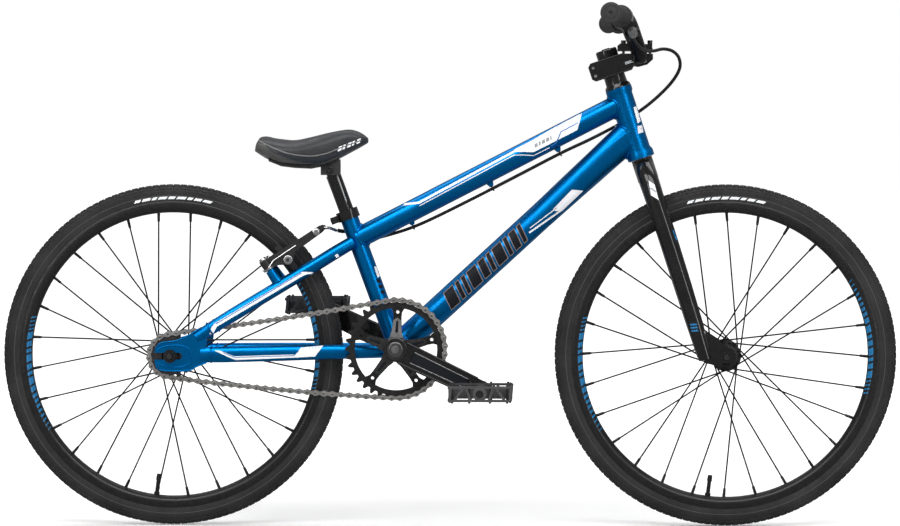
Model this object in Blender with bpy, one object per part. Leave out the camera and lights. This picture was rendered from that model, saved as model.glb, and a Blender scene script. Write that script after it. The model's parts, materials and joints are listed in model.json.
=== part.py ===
"""A small BMX race bicycle, built piece by piece in metres with +Z up.

Forward is +X, and the bike's right side, the one with the chain, is -Y.
The ground is Z = 0 and the origin lies midway between the two wheels.
"""

import math

import bmesh
import bpy
from mathutils import Matrix, Vector

# Clearances
GAP = 0.0003                # between pieces that touch in the real bicycle
RUNNING_GAP = 0.0004        # between a shaft and the piece that turns on it

# Wheels
WHEEL_RADIUS = 0.254
HUB_X = 0.411               # front hub ahead of the origin, rear hub the same distance behind
TYRE_SEGMENTS = 44
RIM_INNER_RADIUS = 0.2115
RIM_OUTER_RADIUS = 0.2283
RIM_HALF_WIDTH = 0.012
SPOKE_COUNT = 28
SPOKE_RADIUS = 0.0011
SPOKE_SIDES = 3
SPOKE_BAND_RADIUS = 0.2083  # inner radius of the thin band that holds the nipples
FLANGE_RADIUS = 0.0225
AXLE_RADIUS = 0.0048
FRONT_DROPOUT_Y = 0.050
REAR_DROPOUT_Y = 0.0553
DROPOUT_THICKNESS = 0.005

# Steering axis
HEAD_LEAN = math.radians(18.3)
HEAD_BOTTOM = Vector((0.2861, 0.0, 0.5466))
HEAD_LENGTH = 0.1094
HEAD_RADIUS = 0.018
STEERER_RADIUS = 0.0143
STEM_ALONG = 0.1430         # height of the stem's middle above the head tube's lower face
STEM_HEIGHT = 0.026
STEM_REACH = 0.045
STEM_RISE = 0.0003
BAR_RADIUS = 0.0111
CAP_BOLT_RADIUS = 0.0020

# Frame
CRANK_AXIS = Vector((-0.077, 0.0, 0.2643))
SEAT_LEAN = math.radians(20.3)
SEAT_TUBE_RADIUS = 0.0136
SEAT_TUBE_LENGTH = 0.2165
SEAT_POST_RADIUS = 0.0111
TOP_TUBE_RADIUS = 0.0159
DOWN_TUBE_RADIUS = 0.019
TUBE_WALL = 0.0022
SHELL_RADIUS = 0.020
SHELL_HALF_WIDTH = 0.034

# Drive
CHAIN_PITCH = 0.0127
RING_TEETH = 36
COG_TEETH = 16
CHAIN_Y = -0.043
TOOTH_HEIGHT = 0.0025       # tooth tip above the pitch circle
PLATE_HALF = 0.0011         # half the thickness of a toothed plate
BOLT_CIRCLE = 0.055
FIRST_SPIDER_ANGLE = 87
CRANK_LENGTH = 0.140
CRANK_DROP = math.radians(25.1)   # the right arm points forward and this far below level
SPINDLE_RADIUS = 0.0095

# Brake
BRAKE_PIVOT = Vector((-0.269, 0.0, 0.388))
BRAKE_LEAN = math.radians(34.2)
BRAKE_PIVOT_Y = 0.040
CABLE_RADIUS = 0.0024

X = Vector((1, 0, 0))
Y = Vector((0, 1, 0))
Z = Vector((0, 0, 1))
STEER_UP = Vector((-math.sin(HEAD_LEAN), 0, math.cos(HEAD_LEAN)))
STEER_FORWARD = Vector((math.cos(HEAD_LEAN), 0, math.sin(HEAD_LEAN)))
SEAT_UP = Vector((-math.sin(SEAT_LEAN), 0, math.cos(SEAT_LEAN)))
SEAT_FORWARD = Vector((math.cos(SEAT_LEAN), 0, math.sin(SEAT_LEAN)))
BRAKE_ALONG = Vector((math.cos(BRAKE_LEAN), 0, math.sin(BRAKE_LEAN)))
BRAKE_OUT = Vector((-math.sin(BRAKE_LEAN), 0, math.cos(BRAKE_LEAN)))
RIGHT, LEFT = -1, 1


# ---------------------------------------------------------------- helpers


def clear_scene():
    for obj in list(bpy.data.objects):
        bpy.data.objects.remove(obj)


def material(name, colour, metallic, roughness):
    made = bpy.data.materials.new(name)
    made.use_nodes = True
    shader = made.node_tree.nodes["Principled BSDF"]
    shader.inputs["Base Color"].default_value = (*colour, 1)
    shader.inputs["Metallic"].default_value = metallic
    shader.inputs["Roughness"].default_value = roughness
    return made


def mesh_object(name, vertices, faces):
    """An object from points in world space, with its faces turned outwards."""
    mesh = bpy.data.meshes.new(name)
    mesh.from_pydata([tuple(v) for v in vertices], [], faces)
    work = bmesh.new()
    work.from_mesh(mesh)
    bmesh.ops.remove_doubles(work, verts=work.verts, dist=1e-6)
    bmesh.ops.recalc_face_normals(work, faces=work.faces)
    work.to_mesh(mesh)
    work.free()
    obj = bpy.data.objects.new(name, mesh)
    bpy.context.scene.collection.objects.link(obj)
    return obj


def combine(target, tool, operation):
    """Joins a tool to the target, or cuts it away, and removes the tool."""
    modifier = target.modifiers.new(operation, "BOOLEAN")
    modifier.operation = operation
    modifier.solver = "EXACT"
    modifier.object = tool
    bpy.context.view_layer.update()
    graph = bpy.context.evaluated_depsgraph_get()
    made = bpy.data.meshes.new_from_object(target.evaluated_get(graph))
    target.modifiers.clear()
    target.data = made
    bpy.data.objects.remove(tool)
    return target


def join(target, *tools):
    for tool in tools:
        combine(target, tool, "UNION")
    return target


def cut(target, *tools):
    for tool in tools:
        combine(target, tool, "DIFFERENCE")
    return target


def finish(obj, look, origin=None, sharp=35):
    """Gives a piece its material, its origin and its smooth shading."""
    mesh = obj.data
    mesh.materials.clear()
    mesh.materials.append(look)
    mesh.polygons.foreach_set("material_index", [0] * len(mesh.polygons))
    if origin is not None:
        mesh.transform(Matrix.Translation(-origin))
        obj.location = origin
    mesh.shade_smooth()
    mesh.set_sharp_from_angle(angle=math.radians(sharp))
    return obj


def across(axis):
    """Two directions square to an axis and to each other."""
    start = Z if abs(axis.dot(Z)) < 0.9 else X
    first = axis.cross(start).normalized()
    return first, axis.cross(first).normalized()


def revolve(name, centre, axis, profile, segments=24):
    """A turned solid. The profile's (along, radius) points close on themselves or on the axis."""
    axis = axis.normalized()
    first, second = across(axis)
    vertices = []
    rows = []
    for along, radius in profile:
        if radius == 0:
            rows.append([len(vertices)] * segments)
            vertices.append(centre + axis * along)
            continue
        row = []
        for step in range(segments):
            angle = math.tau * step / segments
            spoke = first * math.cos(angle) + second * math.sin(angle)
            row.append(len(vertices))
            vertices.append(centre + axis * along + spoke * radius)
        rows.append(row)
    faces = []
    on_axis = profile[0][1] == 0 and profile[-1][1] == 0
    pairs = list(zip(rows, rows[1:]))
    if not on_axis:
        pairs.append((rows[-1], rows[0]))
    for here, there in pairs:
        for step in range(segments):
            nxt = (step + 1) % segments
            corners = [here[step], here[nxt], there[nxt], there[step]]
            kept = [c for i, c in enumerate(corners) if c not in corners[:i]]
            if len(kept) > 2:
                faces.append(kept)
    return mesh_object(name, vertices, faces)


def rod(name, start, end, radius, segments=16, end_radius=None):
    """A solid round bar between two points, straight or tapered."""
    length = (end - start).length
    tip = radius if end_radius is None else end_radius
    profile = [(0, 0), (0, radius), (length, tip), (length, 0)]
    return revolve(name, start, end - start, profile, segments)


def ring(name, centre, axis, low, high, inner, outer, segments=24):
    """A plain ring between two heights along its axis."""
    profile = [(low, inner), (low, outer), (high, outer), (high, inner)]
    return revolve(name, centre, axis, profile, segments)


def smooth_path(points, steps):
    """Points on a smooth curve through the given ones, with even steps between each pair."""
    padded = [points[0] * 2 - points[1], *points, points[-1] * 2 - points[-2]]
    path = []
    for a, b, c, d in zip(padded, padded[1:], padded[2:], padded[3:]):
        for step in range(steps):
            t = step / steps
            path.append(
                ((b * 2) + (c - a) * t + (a * 2 - b * 5 + c * 4 - d) * t**2
                 + (b * 3 - a - c * 3 + d) * t**3) / 2
            )
    path.append(points[-1])
    return path


def sweep(name, path, sizes, side, segments=16, bore=0.0):
    """A bar along a path. Each size is (half height, half width), and the width runs along side."""
    if not isinstance(sizes, list):
        sizes = [sizes] * len(path)
    vertices = []
    for index, (point, size) in enumerate(zip(path, sizes)):
        before = path[max(index - 1, 0)]
        after = path[min(index + 1, len(path) - 1)]
        along = (after - before).normalized()
        wide = (side - along * side.dot(along)).normalized()
        high = along.cross(wide)
        for layer in (0, 1) if bore else (0,):
            tall = size[0] - bore * layer
            broad = size[1] - bore * layer
            for step in range(segments):
                angle = math.tau * step / segments
                vertices.append(
                    point + high * tall * math.cos(angle) + wide * broad * math.sin(angle)
                )
    layers = 2 if bore else 1
    row = segments * layers
    last = (len(path) - 1) * row
    faces = []
    for index in range(len(path) - 1):
        for layer in range(layers):
            base = index * row + layer * segments
            for step in range(segments):
                nxt = (step + 1) % segments
                faces.append([base + step, base + nxt, base + row + nxt, base + row + step])
    if bore:
        for base in (0, last):
            for step in range(segments):
                nxt = (step + 1) % segments
                faces.append(
                    [base + step, base + nxt, base + segments + nxt, base + segments + step]
                )
    else:
        faces.append(list(range(segments)))
        faces.append([last + step for step in range(segments)])
    return mesh_object(name, vertices, faces)


def prism(name, outline, low, high, origin=Vector((0, 0, 0)), right=X, up=Z, normal=Y):
    """A flat outline of (right, up) points made thick between two heights along its normal."""
    count = len(outline)
    vertices = []
    for height in (low, high):
        for u, v in outline:
            vertices.append(origin + right * u + up * v + normal * height)
    faces = [list(range(count)), list(range(count, 2 * count))]
    for step in range(count):
        nxt = (step + 1) % count
        faces.append([step, nxt, count + nxt, count + step])
    return mesh_object(name, vertices, faces)


def block(name, centre, size, right=X, up=Z):
    """A box whose size runs along right, square to both, and up."""
    wide, deep, high = (value / 2 for value in size)
    outline = [(-wide, -high), (wide, -high), (wide, high), (-wide, high)]
    return prism(name, outline, -deep, deep, centre, right, up, up.cross(right).normalized())


def arc(centre, radius, start, end, steps):
    """Points on an arc in degrees, both ends included."""
    points = []
    for step in range(steps + 1):
        angle = math.radians(start + (end - start) * step / steps)
        points.append((centre[0] + radius * math.cos(angle), centre[1] + radius * math.sin(angle)))
    return points


def sided(point, side, distance):
    """The point moved sideways to the right or left of the bicycle's middle plane."""
    return Vector((point[0], side * distance, point[-1]))


def at_head(along, forward=0.0, side=0.0):
    return HEAD_BOTTOM + STEER_UP * along + STEER_FORWARD * forward + Y * side


def at_seat(along, forward=0.0, side=0.0):
    return CRANK_AXIS + SEAT_UP * along + SEAT_FORWARD * forward + Y * side


def side_name(side, name):
    return ("right_" if side == RIGHT else "left_") + name


# ---------------------------------------------------------------- wheels


def tyre(name, hub):
    outer = [(0.2225, 0.0090), (0.2290, 0.0100), (0.2335, 0.0133), (0.2420, 0.0137),
             (0.2500, 0.0096), (WHEEL_RADIUS, 0.0)]
    inner = [(0.2500, 0.0), (0.2400, 0.0103), (0.2225, 0.0070)]
    profile = [(y, r) for r, y in outer]
    profile += [(-y, r) for r, y in reversed(outer[:-1])]
    profile += [(-y, r) for r, y in reversed(inner[1:])]
    profile += [(y, r) for r, y in inner]
    obj = revolve(name, hub, Y, profile, TYRE_SEGMENTS)
    return finish(obj, RUBBER, hub, sharp=60)


def rim(name, hub):
    half = [(0.0055, RIM_INNER_RADIUS), (RIM_HALF_WIDTH, 0.2180),
            (RIM_HALF_WIDTH, RIM_OUTER_RADIUS), (0.0103, RIM_OUTER_RADIUS), (0.0100, 0.2190)]
    profile = half + [(-y, r) for y, r in reversed(half)]
    return finish(revolve(name, hub, Y, profile, TYRE_SEGMENTS), BLACK_ALLOY, hub)


def spokes(name, hub, flange_y):
    """Crossed spokes on both sides, held together by the thin band of nipples at the rim."""
    band_outer = RIM_INNER_RADIUS * math.cos(math.pi / TYRE_SEGMENTS) - GAP
    obj = ring(name, hub, Y, -0.0035, 0.0035, SPOKE_BAND_RADIUS, band_outer, 56)
    lay = math.radians(62)
    vertices = []
    faces = []
    for index in range(SPOKE_COUNT):
        side = 1 if index % 2 else -1
        rim_angle = math.tau * index / SPOKE_COUNT
        leading = 1 if (index // 2) % 2 else -1
        flange_angle = rim_angle + lay * leading
        face = flange_y + (0.0036 if leading > 0 else -0.0036)
        inner = hub + Vector((
            (FLANGE_RADIUS - 0.002) * math.cos(flange_angle), side * face,
            (FLANGE_RADIUS - 0.002) * math.sin(flange_angle)))
        outer = hub + Vector((
            (band_outer - 0.0012) * math.cos(rim_angle), side * 0.0012,
            (band_outer - 0.0012) * math.sin(rim_angle)))
        along = (outer - inner).normalized()
        first, second = across(along)
        base = len(vertices)
        for end in (inner, outer):
            for step in range(SPOKE_SIDES):
                angle = math.tau * step / SPOKE_SIDES
                vertices.append(
                    end + (first * math.cos(angle) + second * math.sin(angle)) * SPOKE_RADIUS
                )
        end_base = base + SPOKE_SIDES
        faces.append([base + step for step in range(SPOKE_SIDES)])
        faces.append([end_base + step for step in range(SPOKE_SIDES)])
        for step in range(SPOKE_SIDES):
            nxt = (step + 1) % SPOKE_SIDES
            faces.append([base + step, base + nxt, end_base + nxt, end_base + step])
    join(obj, mesh_object("spoke_bars", vertices, faces))
    return finish(obj, BLACK_ALLOY, hub)


def hub_shell(name, hub, flange_y, end_y, barrel):
    bore = AXLE_RADIUS + RUNNING_GAP
    half = [(end_y, bore), (end_y, 0.0100), (flange_y + 0.006, 0.0125),
            (flange_y + 0.0015, 0.0140), (flange_y + 0.0015, FLANGE_RADIUS),
            (flange_y - 0.0015, FLANGE_RADIUS), (flange_y - 0.0015, barrel)]
    profile = half + [(-y, r) for y, r in reversed(half)]
    return finish(revolve(name, hub, Y, profile, 16), BLACK_ALLOY, hub)


def axle(name, hub, dropout_y, end_y, end_of_hub):
    """A threaded axle with its two locknuts, which bear on the dropouts."""
    nut_low = end_of_hub + 0.0006
    nut_high = dropout_y - GAP
    half = [(end_y, 0), (end_y, AXLE_RADIUS - 0.0006), (end_y - 0.0008, AXLE_RADIUS),
            (nut_high, AXLE_RADIUS), (nut_high, 0.0085), (nut_low, 0.0085),
            (nut_low, AXLE_RADIUS)]
    profile = half + [(-y, r) for y, r in reversed(half)]
    return finish(revolve(name, hub, Y, profile, 12), STEEL)


def axle_nut(name, hub, side, low):
    washer = ring(name, hub, Y * side, low, low + 0.0016, AXLE_RADIUS + GAP * 2, 0.0100, 12)
    nut = ring("nut", hub, Y * side, low + 0.0012, low + 0.0085, 0.0060, 0.0086, 6)
    return finish(join(washer, nut), BLACK_ALLOY)


def wheels():
    front = Vector((HUB_X, 0, WHEEL_RADIUS))
    rear = Vector((-HUB_X, 0, WHEEL_RADIUS))
    tyre("front_tyre", front)
    tyre("rear_tyre", rear)
    rim("front_rim", front)
    rim("rear_rim", rear)
    spokes("front_spokes", front, 0.028)
    spokes("rear_spokes", rear, 0.023)
    hub_shell("front_hub_shell", front, 0.028, 0.043, 0.0135)
    hub_shell("rear_hub_shell", rear, 0.023, 0.0375, 0.0165)
    front_nut = FRONT_DROPOUT_Y + DROPOUT_THICKNESS + GAP
    rear_nut = REAR_DROPOUT_Y + DROPOUT_THICKNESS + GAP
    axle("front_axle", front, FRONT_DROPOUT_Y, front_nut + 0.0125, 0.043)
    axle("rear_axle", rear, REAR_DROPOUT_Y, rear_nut + 0.0125, 0.0505)
    for side in (RIGHT, LEFT):
        axle_nut(side_name(side, "front_axle_nut"), front, side, front_nut)
        axle_nut(side_name(side, "rear_axle_nut"), rear, side, rear_nut)


# ---------------------------------------------------------------- frame


def head_tube():
    seat = 0.0176
    bore = 0.0158
    profile = [
        (0, seat), (0, 0.0205), (0.009, 0.0205), (0.014, HEAD_RADIUS),
        (HEAD_LENGTH - 0.011, HEAD_RADIUS), (HEAD_LENGTH - 0.007, 0.0200),
        (HEAD_LENGTH, 0.0200), (HEAD_LENGTH, seat), (HEAD_LENGTH - 0.008, seat),
        (HEAD_LENGTH - 0.008, bore), (0.008, bore), (0.008, seat),
    ]
    return finish(revolve("head_tube", HEAD_BOTTOM, STEER_UP, profile, 22), BLUE)


def headset_bearings():
    inner = STEERER_RADIUS + RUNNING_GAP
    outer = 0.0176 - GAP
    low = ring("lower_headset_bearing", HEAD_BOTTOM, STEER_UP, 0.0006, 0.0074, inner, outer, 16)
    high = ring("upper_headset_bearing", HEAD_BOTTOM, STEER_UP, HEAD_LENGTH - 0.0074,
                HEAD_LENGTH - 0.0006, inner, outer, 16)
    finish(low, STEEL)
    finish(high, STEEL)


def flared_cutter():
    """The space the head tube takes up, with its two end rings."""
    profile = [(-0.03, 0), (-0.03, 0.0208), (0.0093, 0.0208), (0.0143, HEAD_RADIUS + GAP),
               (HEAD_LENGTH - 0.0113, HEAD_RADIUS + GAP), (HEAD_LENGTH - 0.0073, 0.0203),
               (HEAD_LENGTH + 0.03, 0.0203), (HEAD_LENGTH + 0.03, 0)]
    return revolve("head_space", HEAD_BOTTOM, STEER_UP, profile, 24)


def seat_cutter():
    return rod("seat_space", at_seat(-0.03), at_seat(0.24), SEAT_TUBE_RADIUS + GAP, 24)


def shell_cutter():
    half = SHELL_HALF_WIDTH + GAP
    return rod("shell_space", CRANK_AXIS - Y * half, CRANK_AXIS + Y * half, SHELL_RADIUS + GAP, 24)


def down_tube():
    """A round tube that grows deep under the head tube."""
    end = Vector((0.278, 0, 0.590))
    start = CRANK_AXIS + (end - CRANK_AXIS).normalized() * 0.004
    path = [start.lerp(end, t) for t in (0, 0.6, 0.85, 1.0)]
    depth = [0.0195, 0.0197, 0.0218, 0.0235]
    width = [DOWN_TUBE_RADIUS] * 3 + [0.0178]
    obj = sweep("down_tube", path, list(zip(depth, width)), Y, 18, TUBE_WALL)
    cut(obj, flared_cutter(), shell_cutter(), seat_cutter())
    return finish(keep_largest(obj), BLUE)


def top_tube():
    start = Vector((-0.136, 0, 0.4269))
    end = Vector((0.2587, 0, 0.6292))
    path = [start.lerp(end, t) for t in (0, 0.5, 1.0)]
    obj = sweep("top_tube", path, (TOP_TUBE_RADIUS, TOP_TUBE_RADIUS), Y, 18, TUBE_WALL)
    cut(obj, flared_cutter(), seat_cutter())
    return finish(keep_largest(obj), BLUE)


def keep_largest(obj):
    """Drops the scraps that a cut leaves beyond the far side of a joint."""
    work = bmesh.new()
    work.from_mesh(obj.data)
    waiting = set(work.verts)
    groups = []
    while waiting:
        edge = [waiting.pop()]
        group = set(edge)
        while edge:
            vertex = edge.pop()
            for link in vertex.link_edges:
                other = link.other_vert(vertex)
                if other in waiting:
                    waiting.discard(other)
                    group.add(other)
                    edge.append(other)
        groups.append(group)
    groups.sort(key=len)
    for group in groups[:-1]:
        bmesh.ops.delete(work, geom=list(group), context="VERTS")
    work.to_mesh(obj.data)
    work.free()
    return obj


def seat_tube():
    bore = SEAT_POST_RADIUS + GAP
    obj = ring("seat_tube", CRANK_AXIS, SEAT_UP, 0.0, SEAT_TUBE_LENGTH, bore, SEAT_TUBE_RADIUS, 24)
    cut(obj, shell_cutter())
    return finish(keep_largest(obj), BLUE)


def crank_shell():
    obj = ring("crank_shell", CRANK_AXIS, Y, -SHELL_HALF_WIDTH, SHELL_HALF_WIDTH,
               0.0175, SHELL_RADIUS, 24)
    return finish(obj, BLUE)


def crank_bearings():
    for side in (RIGHT, LEFT):
        profile = [(0.024, SPINDLE_RADIUS + RUNNING_GAP), (0.024, 0.0172), (0.0343, 0.0172),
                   (0.0343, 0.0195), (0.0370, 0.0195), (0.0370, SPINDLE_RADIUS + RUNNING_GAP)]
        obj = revolve(side_name(side, "crank_bearing"), CRANK_AXIS, Y * side, profile, 16)
        finish(obj, BLACK_ALLOY)


def dropout_outline():
    """The hooded plate at the rear axle with its open slot, as (X, Z) points."""
    slot = 0.0051
    axle_z = WHEEL_RADIUS
    upper = [(-0.434, axle_z + slot), (-0.4325, 0.2655), (-0.424, 0.2736), (-0.405, 0.2762),
             (-0.387, 0.2825), (-0.366, 0.2955), (-0.356, 0.2790), (-0.3575, 0.2680)]
    lower = [(-0.3565, 0.2445), (-0.372, 0.2385), (-0.385, 0.2325), (-0.424, 0.2333),
             (-0.4325, 0.2425), (-0.434, axle_z - slot)]
    slot_end = arc((-0.398, axle_z), slot, -90, 90, 6)
    return upper + lower + slot_end


def seatstay(side):
    """A flattened stay from the dropout to the seat tube, with the boss that carries the brake."""
    marks = [(-0.372, 0.2815, 0.0565), (-0.345, 0.2985, 0.0565), (-0.315, 0.3170, 0.0550),
             (-0.253, 0.3545, 0.0405), (-0.200, 0.3868, 0.0310), (-0.165, 0.4085, 0.0235),
             (-0.143, 0.4215, 0.0150)]
    path = [Vector((x, side * y, z)) for x, z, y in marks]
    sizes = [(0.0085, 0.0060), (0.0095, 0.0066), (0.0098, 0.0066), (0.0098, 0.0088),
             (0.0098, 0.0094), (0.0098, 0.0094), (0.0095, 0.0090)]
    obj = sweep(side_name(side, "seatstay"), path, sizes, Y, 14)
    pivot = sided(BRAKE_PIVOT, side, BRAKE_PIVOT_Y)
    foot = pivot - BRAKE_OUT * 0.030
    join(obj, rod("boss", foot, pivot - BRAKE_OUT * 0.0090, 0.0085, 16, 0.0070))
    join(obj, rod("boss_pin", foot, pivot + BRAKE_OUT * 0.0090, 0.0040, 12))
    cut(obj, seat_cutter(), other_side_cutter(side))
    top_space = rod("top_space", Vector((-0.18, 0, 0.4044)), Vector((-0.05, 0, 0.4710)),
                    TOP_TUBE_RADIUS + GAP, 24)
    cut(obj, top_space)
    return finish(keep_largest(obj), BLUE)


def other_side_cutter(side):
    """Everything past the middle plane, so that the two halves don't meet."""
    centre = Vector((-0.15, -side * (0.1 - GAP / 2), 0.42))
    return block("other_side", centre, (0.2, 0.2, 0.2))


def chainstay(side):
    """The lower stay and the dropout plate it carries."""
    marks = [(-0.366, 0.2560, 0.0570), (-0.330, 0.2565, 0.0540), (-0.250, 0.2578, 0.0405),
             (-0.170, 0.2592, 0.0305), (-0.085, 0.2605, 0.0235)]
    path = [Vector((x, side * y, z)) for x, z, y in marks]
    sizes = [(0.0115, 0.0058), (0.0120, 0.0066), (0.0118, 0.0072), (0.0108, 0.0078),
             (0.0100, 0.0085)]
    obj = sweep(side_name(side, "chainstay"), path, sizes, Y, 14)
    low, high = REAR_DROPOUT_Y, REAR_DROPOUT_Y + DROPOUT_THICKNESS
    plate = prism("dropout", dropout_outline(), low, high, normal=Y * side)
    join(obj, plate)
    cut(obj, shell_cutter(), other_side_cutter(side))
    cut(obj, seatstay_cutter(side))
    return finish(keep_largest(obj), BLUE)


def seatstay_cutter(side):
    """The space of the seatstay's lower end, where it meets the dropout plate."""
    path = [Vector((x, side * y, z)) for x, z, y in
            [(-0.3725, 0.2812, 0.0565), (-0.345, 0.2985, 0.0565), (-0.315, 0.3170, 0.0550)]]
    sizes = [(0.0089, 0.0064), (0.0099, 0.0070), (0.0102, 0.0070)]
    return sweep("stay_space", path, sizes, Y, 16)


def seat_clamp():
    """A split collar round the top of the seat tube, and the bolt across its ears."""
    inner = SEAT_TUBE_RADIUS + GAP
    low, high = SEAT_TUBE_LENGTH - 0.0125, SEAT_TUBE_LENGTH + 0.0020
    middle = (low + high) / 2
    obj = rod("seat_clamp", at_seat(low), at_seat(high), 0.0168, 22)
    ears = block("ears", at_seat(middle - 0.0010, -0.0205), (0.0130, 0.0150, 0.0105),
                 SEAT_FORWARD, SEAT_UP)
    join(obj, ears)
    cut(obj, rod("bore", at_seat(low - 0.01), at_seat(high + 0.01), inner, 22))
    bolt = at_seat(middle - 0.0010, -0.0222)
    cut(obj, rod("bolt_hole", bolt - Y * 0.02, bolt + Y * 0.02, 0.0028, 16))
    cut(obj, block("split", at_seat(middle, -0.021), (0.020, 0.0016, 0.030),
                   SEAT_FORWARD, SEAT_UP))
    finish(obj, BLACK_ALLOY)
    screw = rod("seat_clamp_bolt", bolt - Y * 0.0098, bolt + Y * 0.0095, 0.0024, 16)
    head = rod("head", bolt - Y * 0.0118, bolt - Y * 0.0079, 0.0045, 16)
    finish(join(screw, head), STEEL)


# ---------------------------------------------------------------- steering


def fork():
    """Steerer, crown, two tapered legs and their dropout plates, welded into one piece."""
    obj = rod("fork", at_head(-0.030), at_head(0.1650), STEERER_RADIUS, 18)
    join(obj, rod("crown", at_head(-0.034), at_head(-0.0009), 0.0158, 18))
    for side in (RIGHT, LEFT):
        marks = [(-0.012, 0, 0.004), (-0.022, 0, 0.020), (-0.036, 0, 0.0315),
                 (-0.060, 0, 0.0365), (-0.120, 0, 0.0405), (-0.200, -0.001, 0.0460),
                 (-0.260, -0.002, 0.0500), (-0.3115, -0.004, 0.0535)]
        path = [at_head(a, f, side * s) for a, f, s in marks]
        sizes = [(0.0140, 0.0140), (0.0148, 0.0140), (0.0146, 0.0138), (0.0142, 0.0132),
                 (0.0136, 0.0126), (0.0130, 0.0110), (0.0120, 0.0086), (0.0094, 0.0060)]
        join(obj, sweep("leg", path, sizes, Y, 14))
        join(obj, fork_dropout(side))
    return finish(obj, BLACK_PAINT, HEAD_BOTTOM.copy())


def fork_dropout(side):
    """A plate from the leg's lower end forward to the front axle, with a slot open below."""
    hub = (HUB_X, WHEEL_RADIUS)
    slot = AXLE_RADIUS + GAP
    outline = arc(hub, 0.0145, 75, -25, 8)
    outline += [(HUB_X + slot + 0.004, 0.2385), (HUB_X + slot, 0.2385)]
    outline += arc(hub, slot, 0, 180, 6)
    outline += [(HUB_X - slot, 0.2385), (0.396, 0.2410), (0.3800, 0.2445), (0.3620, 0.2900),
                (0.3700, 0.3000), (0.3880, 0.2850)]
    low, high = FRONT_DROPOUT_Y, FRONT_DROPOUT_Y + DROPOUT_THICKNESS
    return prism("fork_dropout", outline, low, high, normal=Y * side)


def headset_pieces():
    inner = STEERER_RADIUS + GAP
    base = HEAD_LENGTH + GAP
    stem_low = STEM_ALONG - STEM_HEIGHT / 2
    stem_high = STEM_ALONG + STEM_HEIGHT / 2
    cover = [(base, inner), (base, 0.0196), (base + 0.0035, 0.0190), (base + 0.0065, 0.0162),
             (stem_low - GAP, 0.0158), (stem_low - GAP, inner)]
    finish(revolve("headset_cover", HEAD_BOTTOM, STEER_UP, cover, 16), BLACK_ALLOY)
    low, high = stem_high + GAP, 0.1695
    cap = [(low, inner), (low, 0.0160), (high - 0.0020, 0.0160), (high, 0.0145), (high, 0),
           (0.1650 + GAP, 0), (0.1650 + GAP, inner)]
    first = cap.index((high, 0))
    cap = cap[first + 1:] + cap[:first + 1]
    finish(revolve("top_cap", HEAD_BOTTOM, STEER_UP, cap, 20), BLACK_ALLOY)


def bar_centre():
    return at_head(STEM_ALONG + STEM_RISE, STEM_REACH)


def stem():
    """The block that grips the steerer behind and carries the bar in front."""
    low, high = -STEM_HEIGHT / 2, STEM_HEIGHT / 2
    outline = [(-0.0320, low + 0.004), (-0.0280, low), (0.0280, low), (0.0320, low + 0.0040),
               (0.0385, low + 0.0010), (0.0440, low - 0.0005), (0.0520, low + 0.0002),
               (0.0615, -0.0085), (0.0640, -0.0022), (0.0194, high), (-0.0280, high),
               (-0.0320, high - 0.004)]
    obj = prism("stem", outline, -0.0215, 0.0215, at_head(STEM_ALONG), STEER_FORWARD, STEER_UP)
    cut(obj, rod("steerer_bore", at_head(0.10), at_head(0.18), STEERER_RADIUS + GAP, 20))
    centre = bar_centre()
    cut(obj, rod("bar_bore", centre - Y * 0.05, centre + Y * 0.05, BAR_RADIUS + GAP, 20))
    cut(obj, block("slit", at_head(STEM_ALONG, -0.0260), (0.0280, 0.0020, 0.0400),
                   STEER_FORWARD, STEER_UP))
    for spot in cap_bolt_spots():
        cut(obj, rod("bolt_hole", spot + Z * 0.0200, spot - Z * 0.0012,
                     CAP_BOLT_RADIUS + GAP, 10))
    finish(obj, BLACK_PAINT)
    faceplate(centre)


def cap_bolt_spots():
    """Four points level with the middle of the bar, two behind it and two in front."""
    centre = bar_centre()
    return [centre + X * ahead + Y * aside for ahead in (-0.0245, 0.0148)
            for aside in (-0.0125, 0.0125)]


def faceplate(centre):
    """The cap that closes the stem over the bar, with its four bolts."""
    outline = [(-0.0334, 0.0085), (0.0180, 0.0085), (0.0187, 0.0120), (0.0165, 0.0185),
               (-0.0290, 0.0200), (-0.0334, 0.0165)]
    obj = prism("stem_faceplate", outline, -0.0210, 0.0210, centre)
    for spot in cap_bolt_spots():
        join(obj, rod("bolt", spot - Z * 0.0006, spot + Z * 0.0150, CAP_BOLT_RADIUS, 10))
        join(obj, rod("bolt_head", spot + Z * 0.0150, spot + Z * 0.0236, 0.0035, 12))
    cut(obj, rod("bar_bore", centre - Y * 0.05, centre + Y * 0.05, BAR_RADIUS + GAP, 20))
    finish(obj, BLACK_PAINT)


def bar_marks():
    """Points on the handlebar's right half, from the clamp to the tip."""
    centre = bar_centre()
    return [centre, centre + Y * -0.030, Vector((0.2815, -0.046, 0.7060)),
            Vector((0.2690, -0.100, 0.7400)), Vector((0.2625, -0.124, 0.7505)),
            Vector((0.2590, -0.150, 0.7515)), Vector((0.2540, -0.185, 0.7520)),
            Vector((0.2390, -0.2985, 0.7540))]


def handlebar():
    right = smooth_path(bar_marks()[1:7], 2) + [bar_marks()[7]]
    left = [Vector((p.x, -p.y, p.z)) for p in right]
    path = list(reversed(right)) + left
    size = (BAR_RADIUS, BAR_RADIUS)
    side = Vector((0.3, 0, 1)).normalized()
    return finish(sweep("handlebar", path, size, side, 10, TUBE_WALL), BLACK_PAINT)


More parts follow.
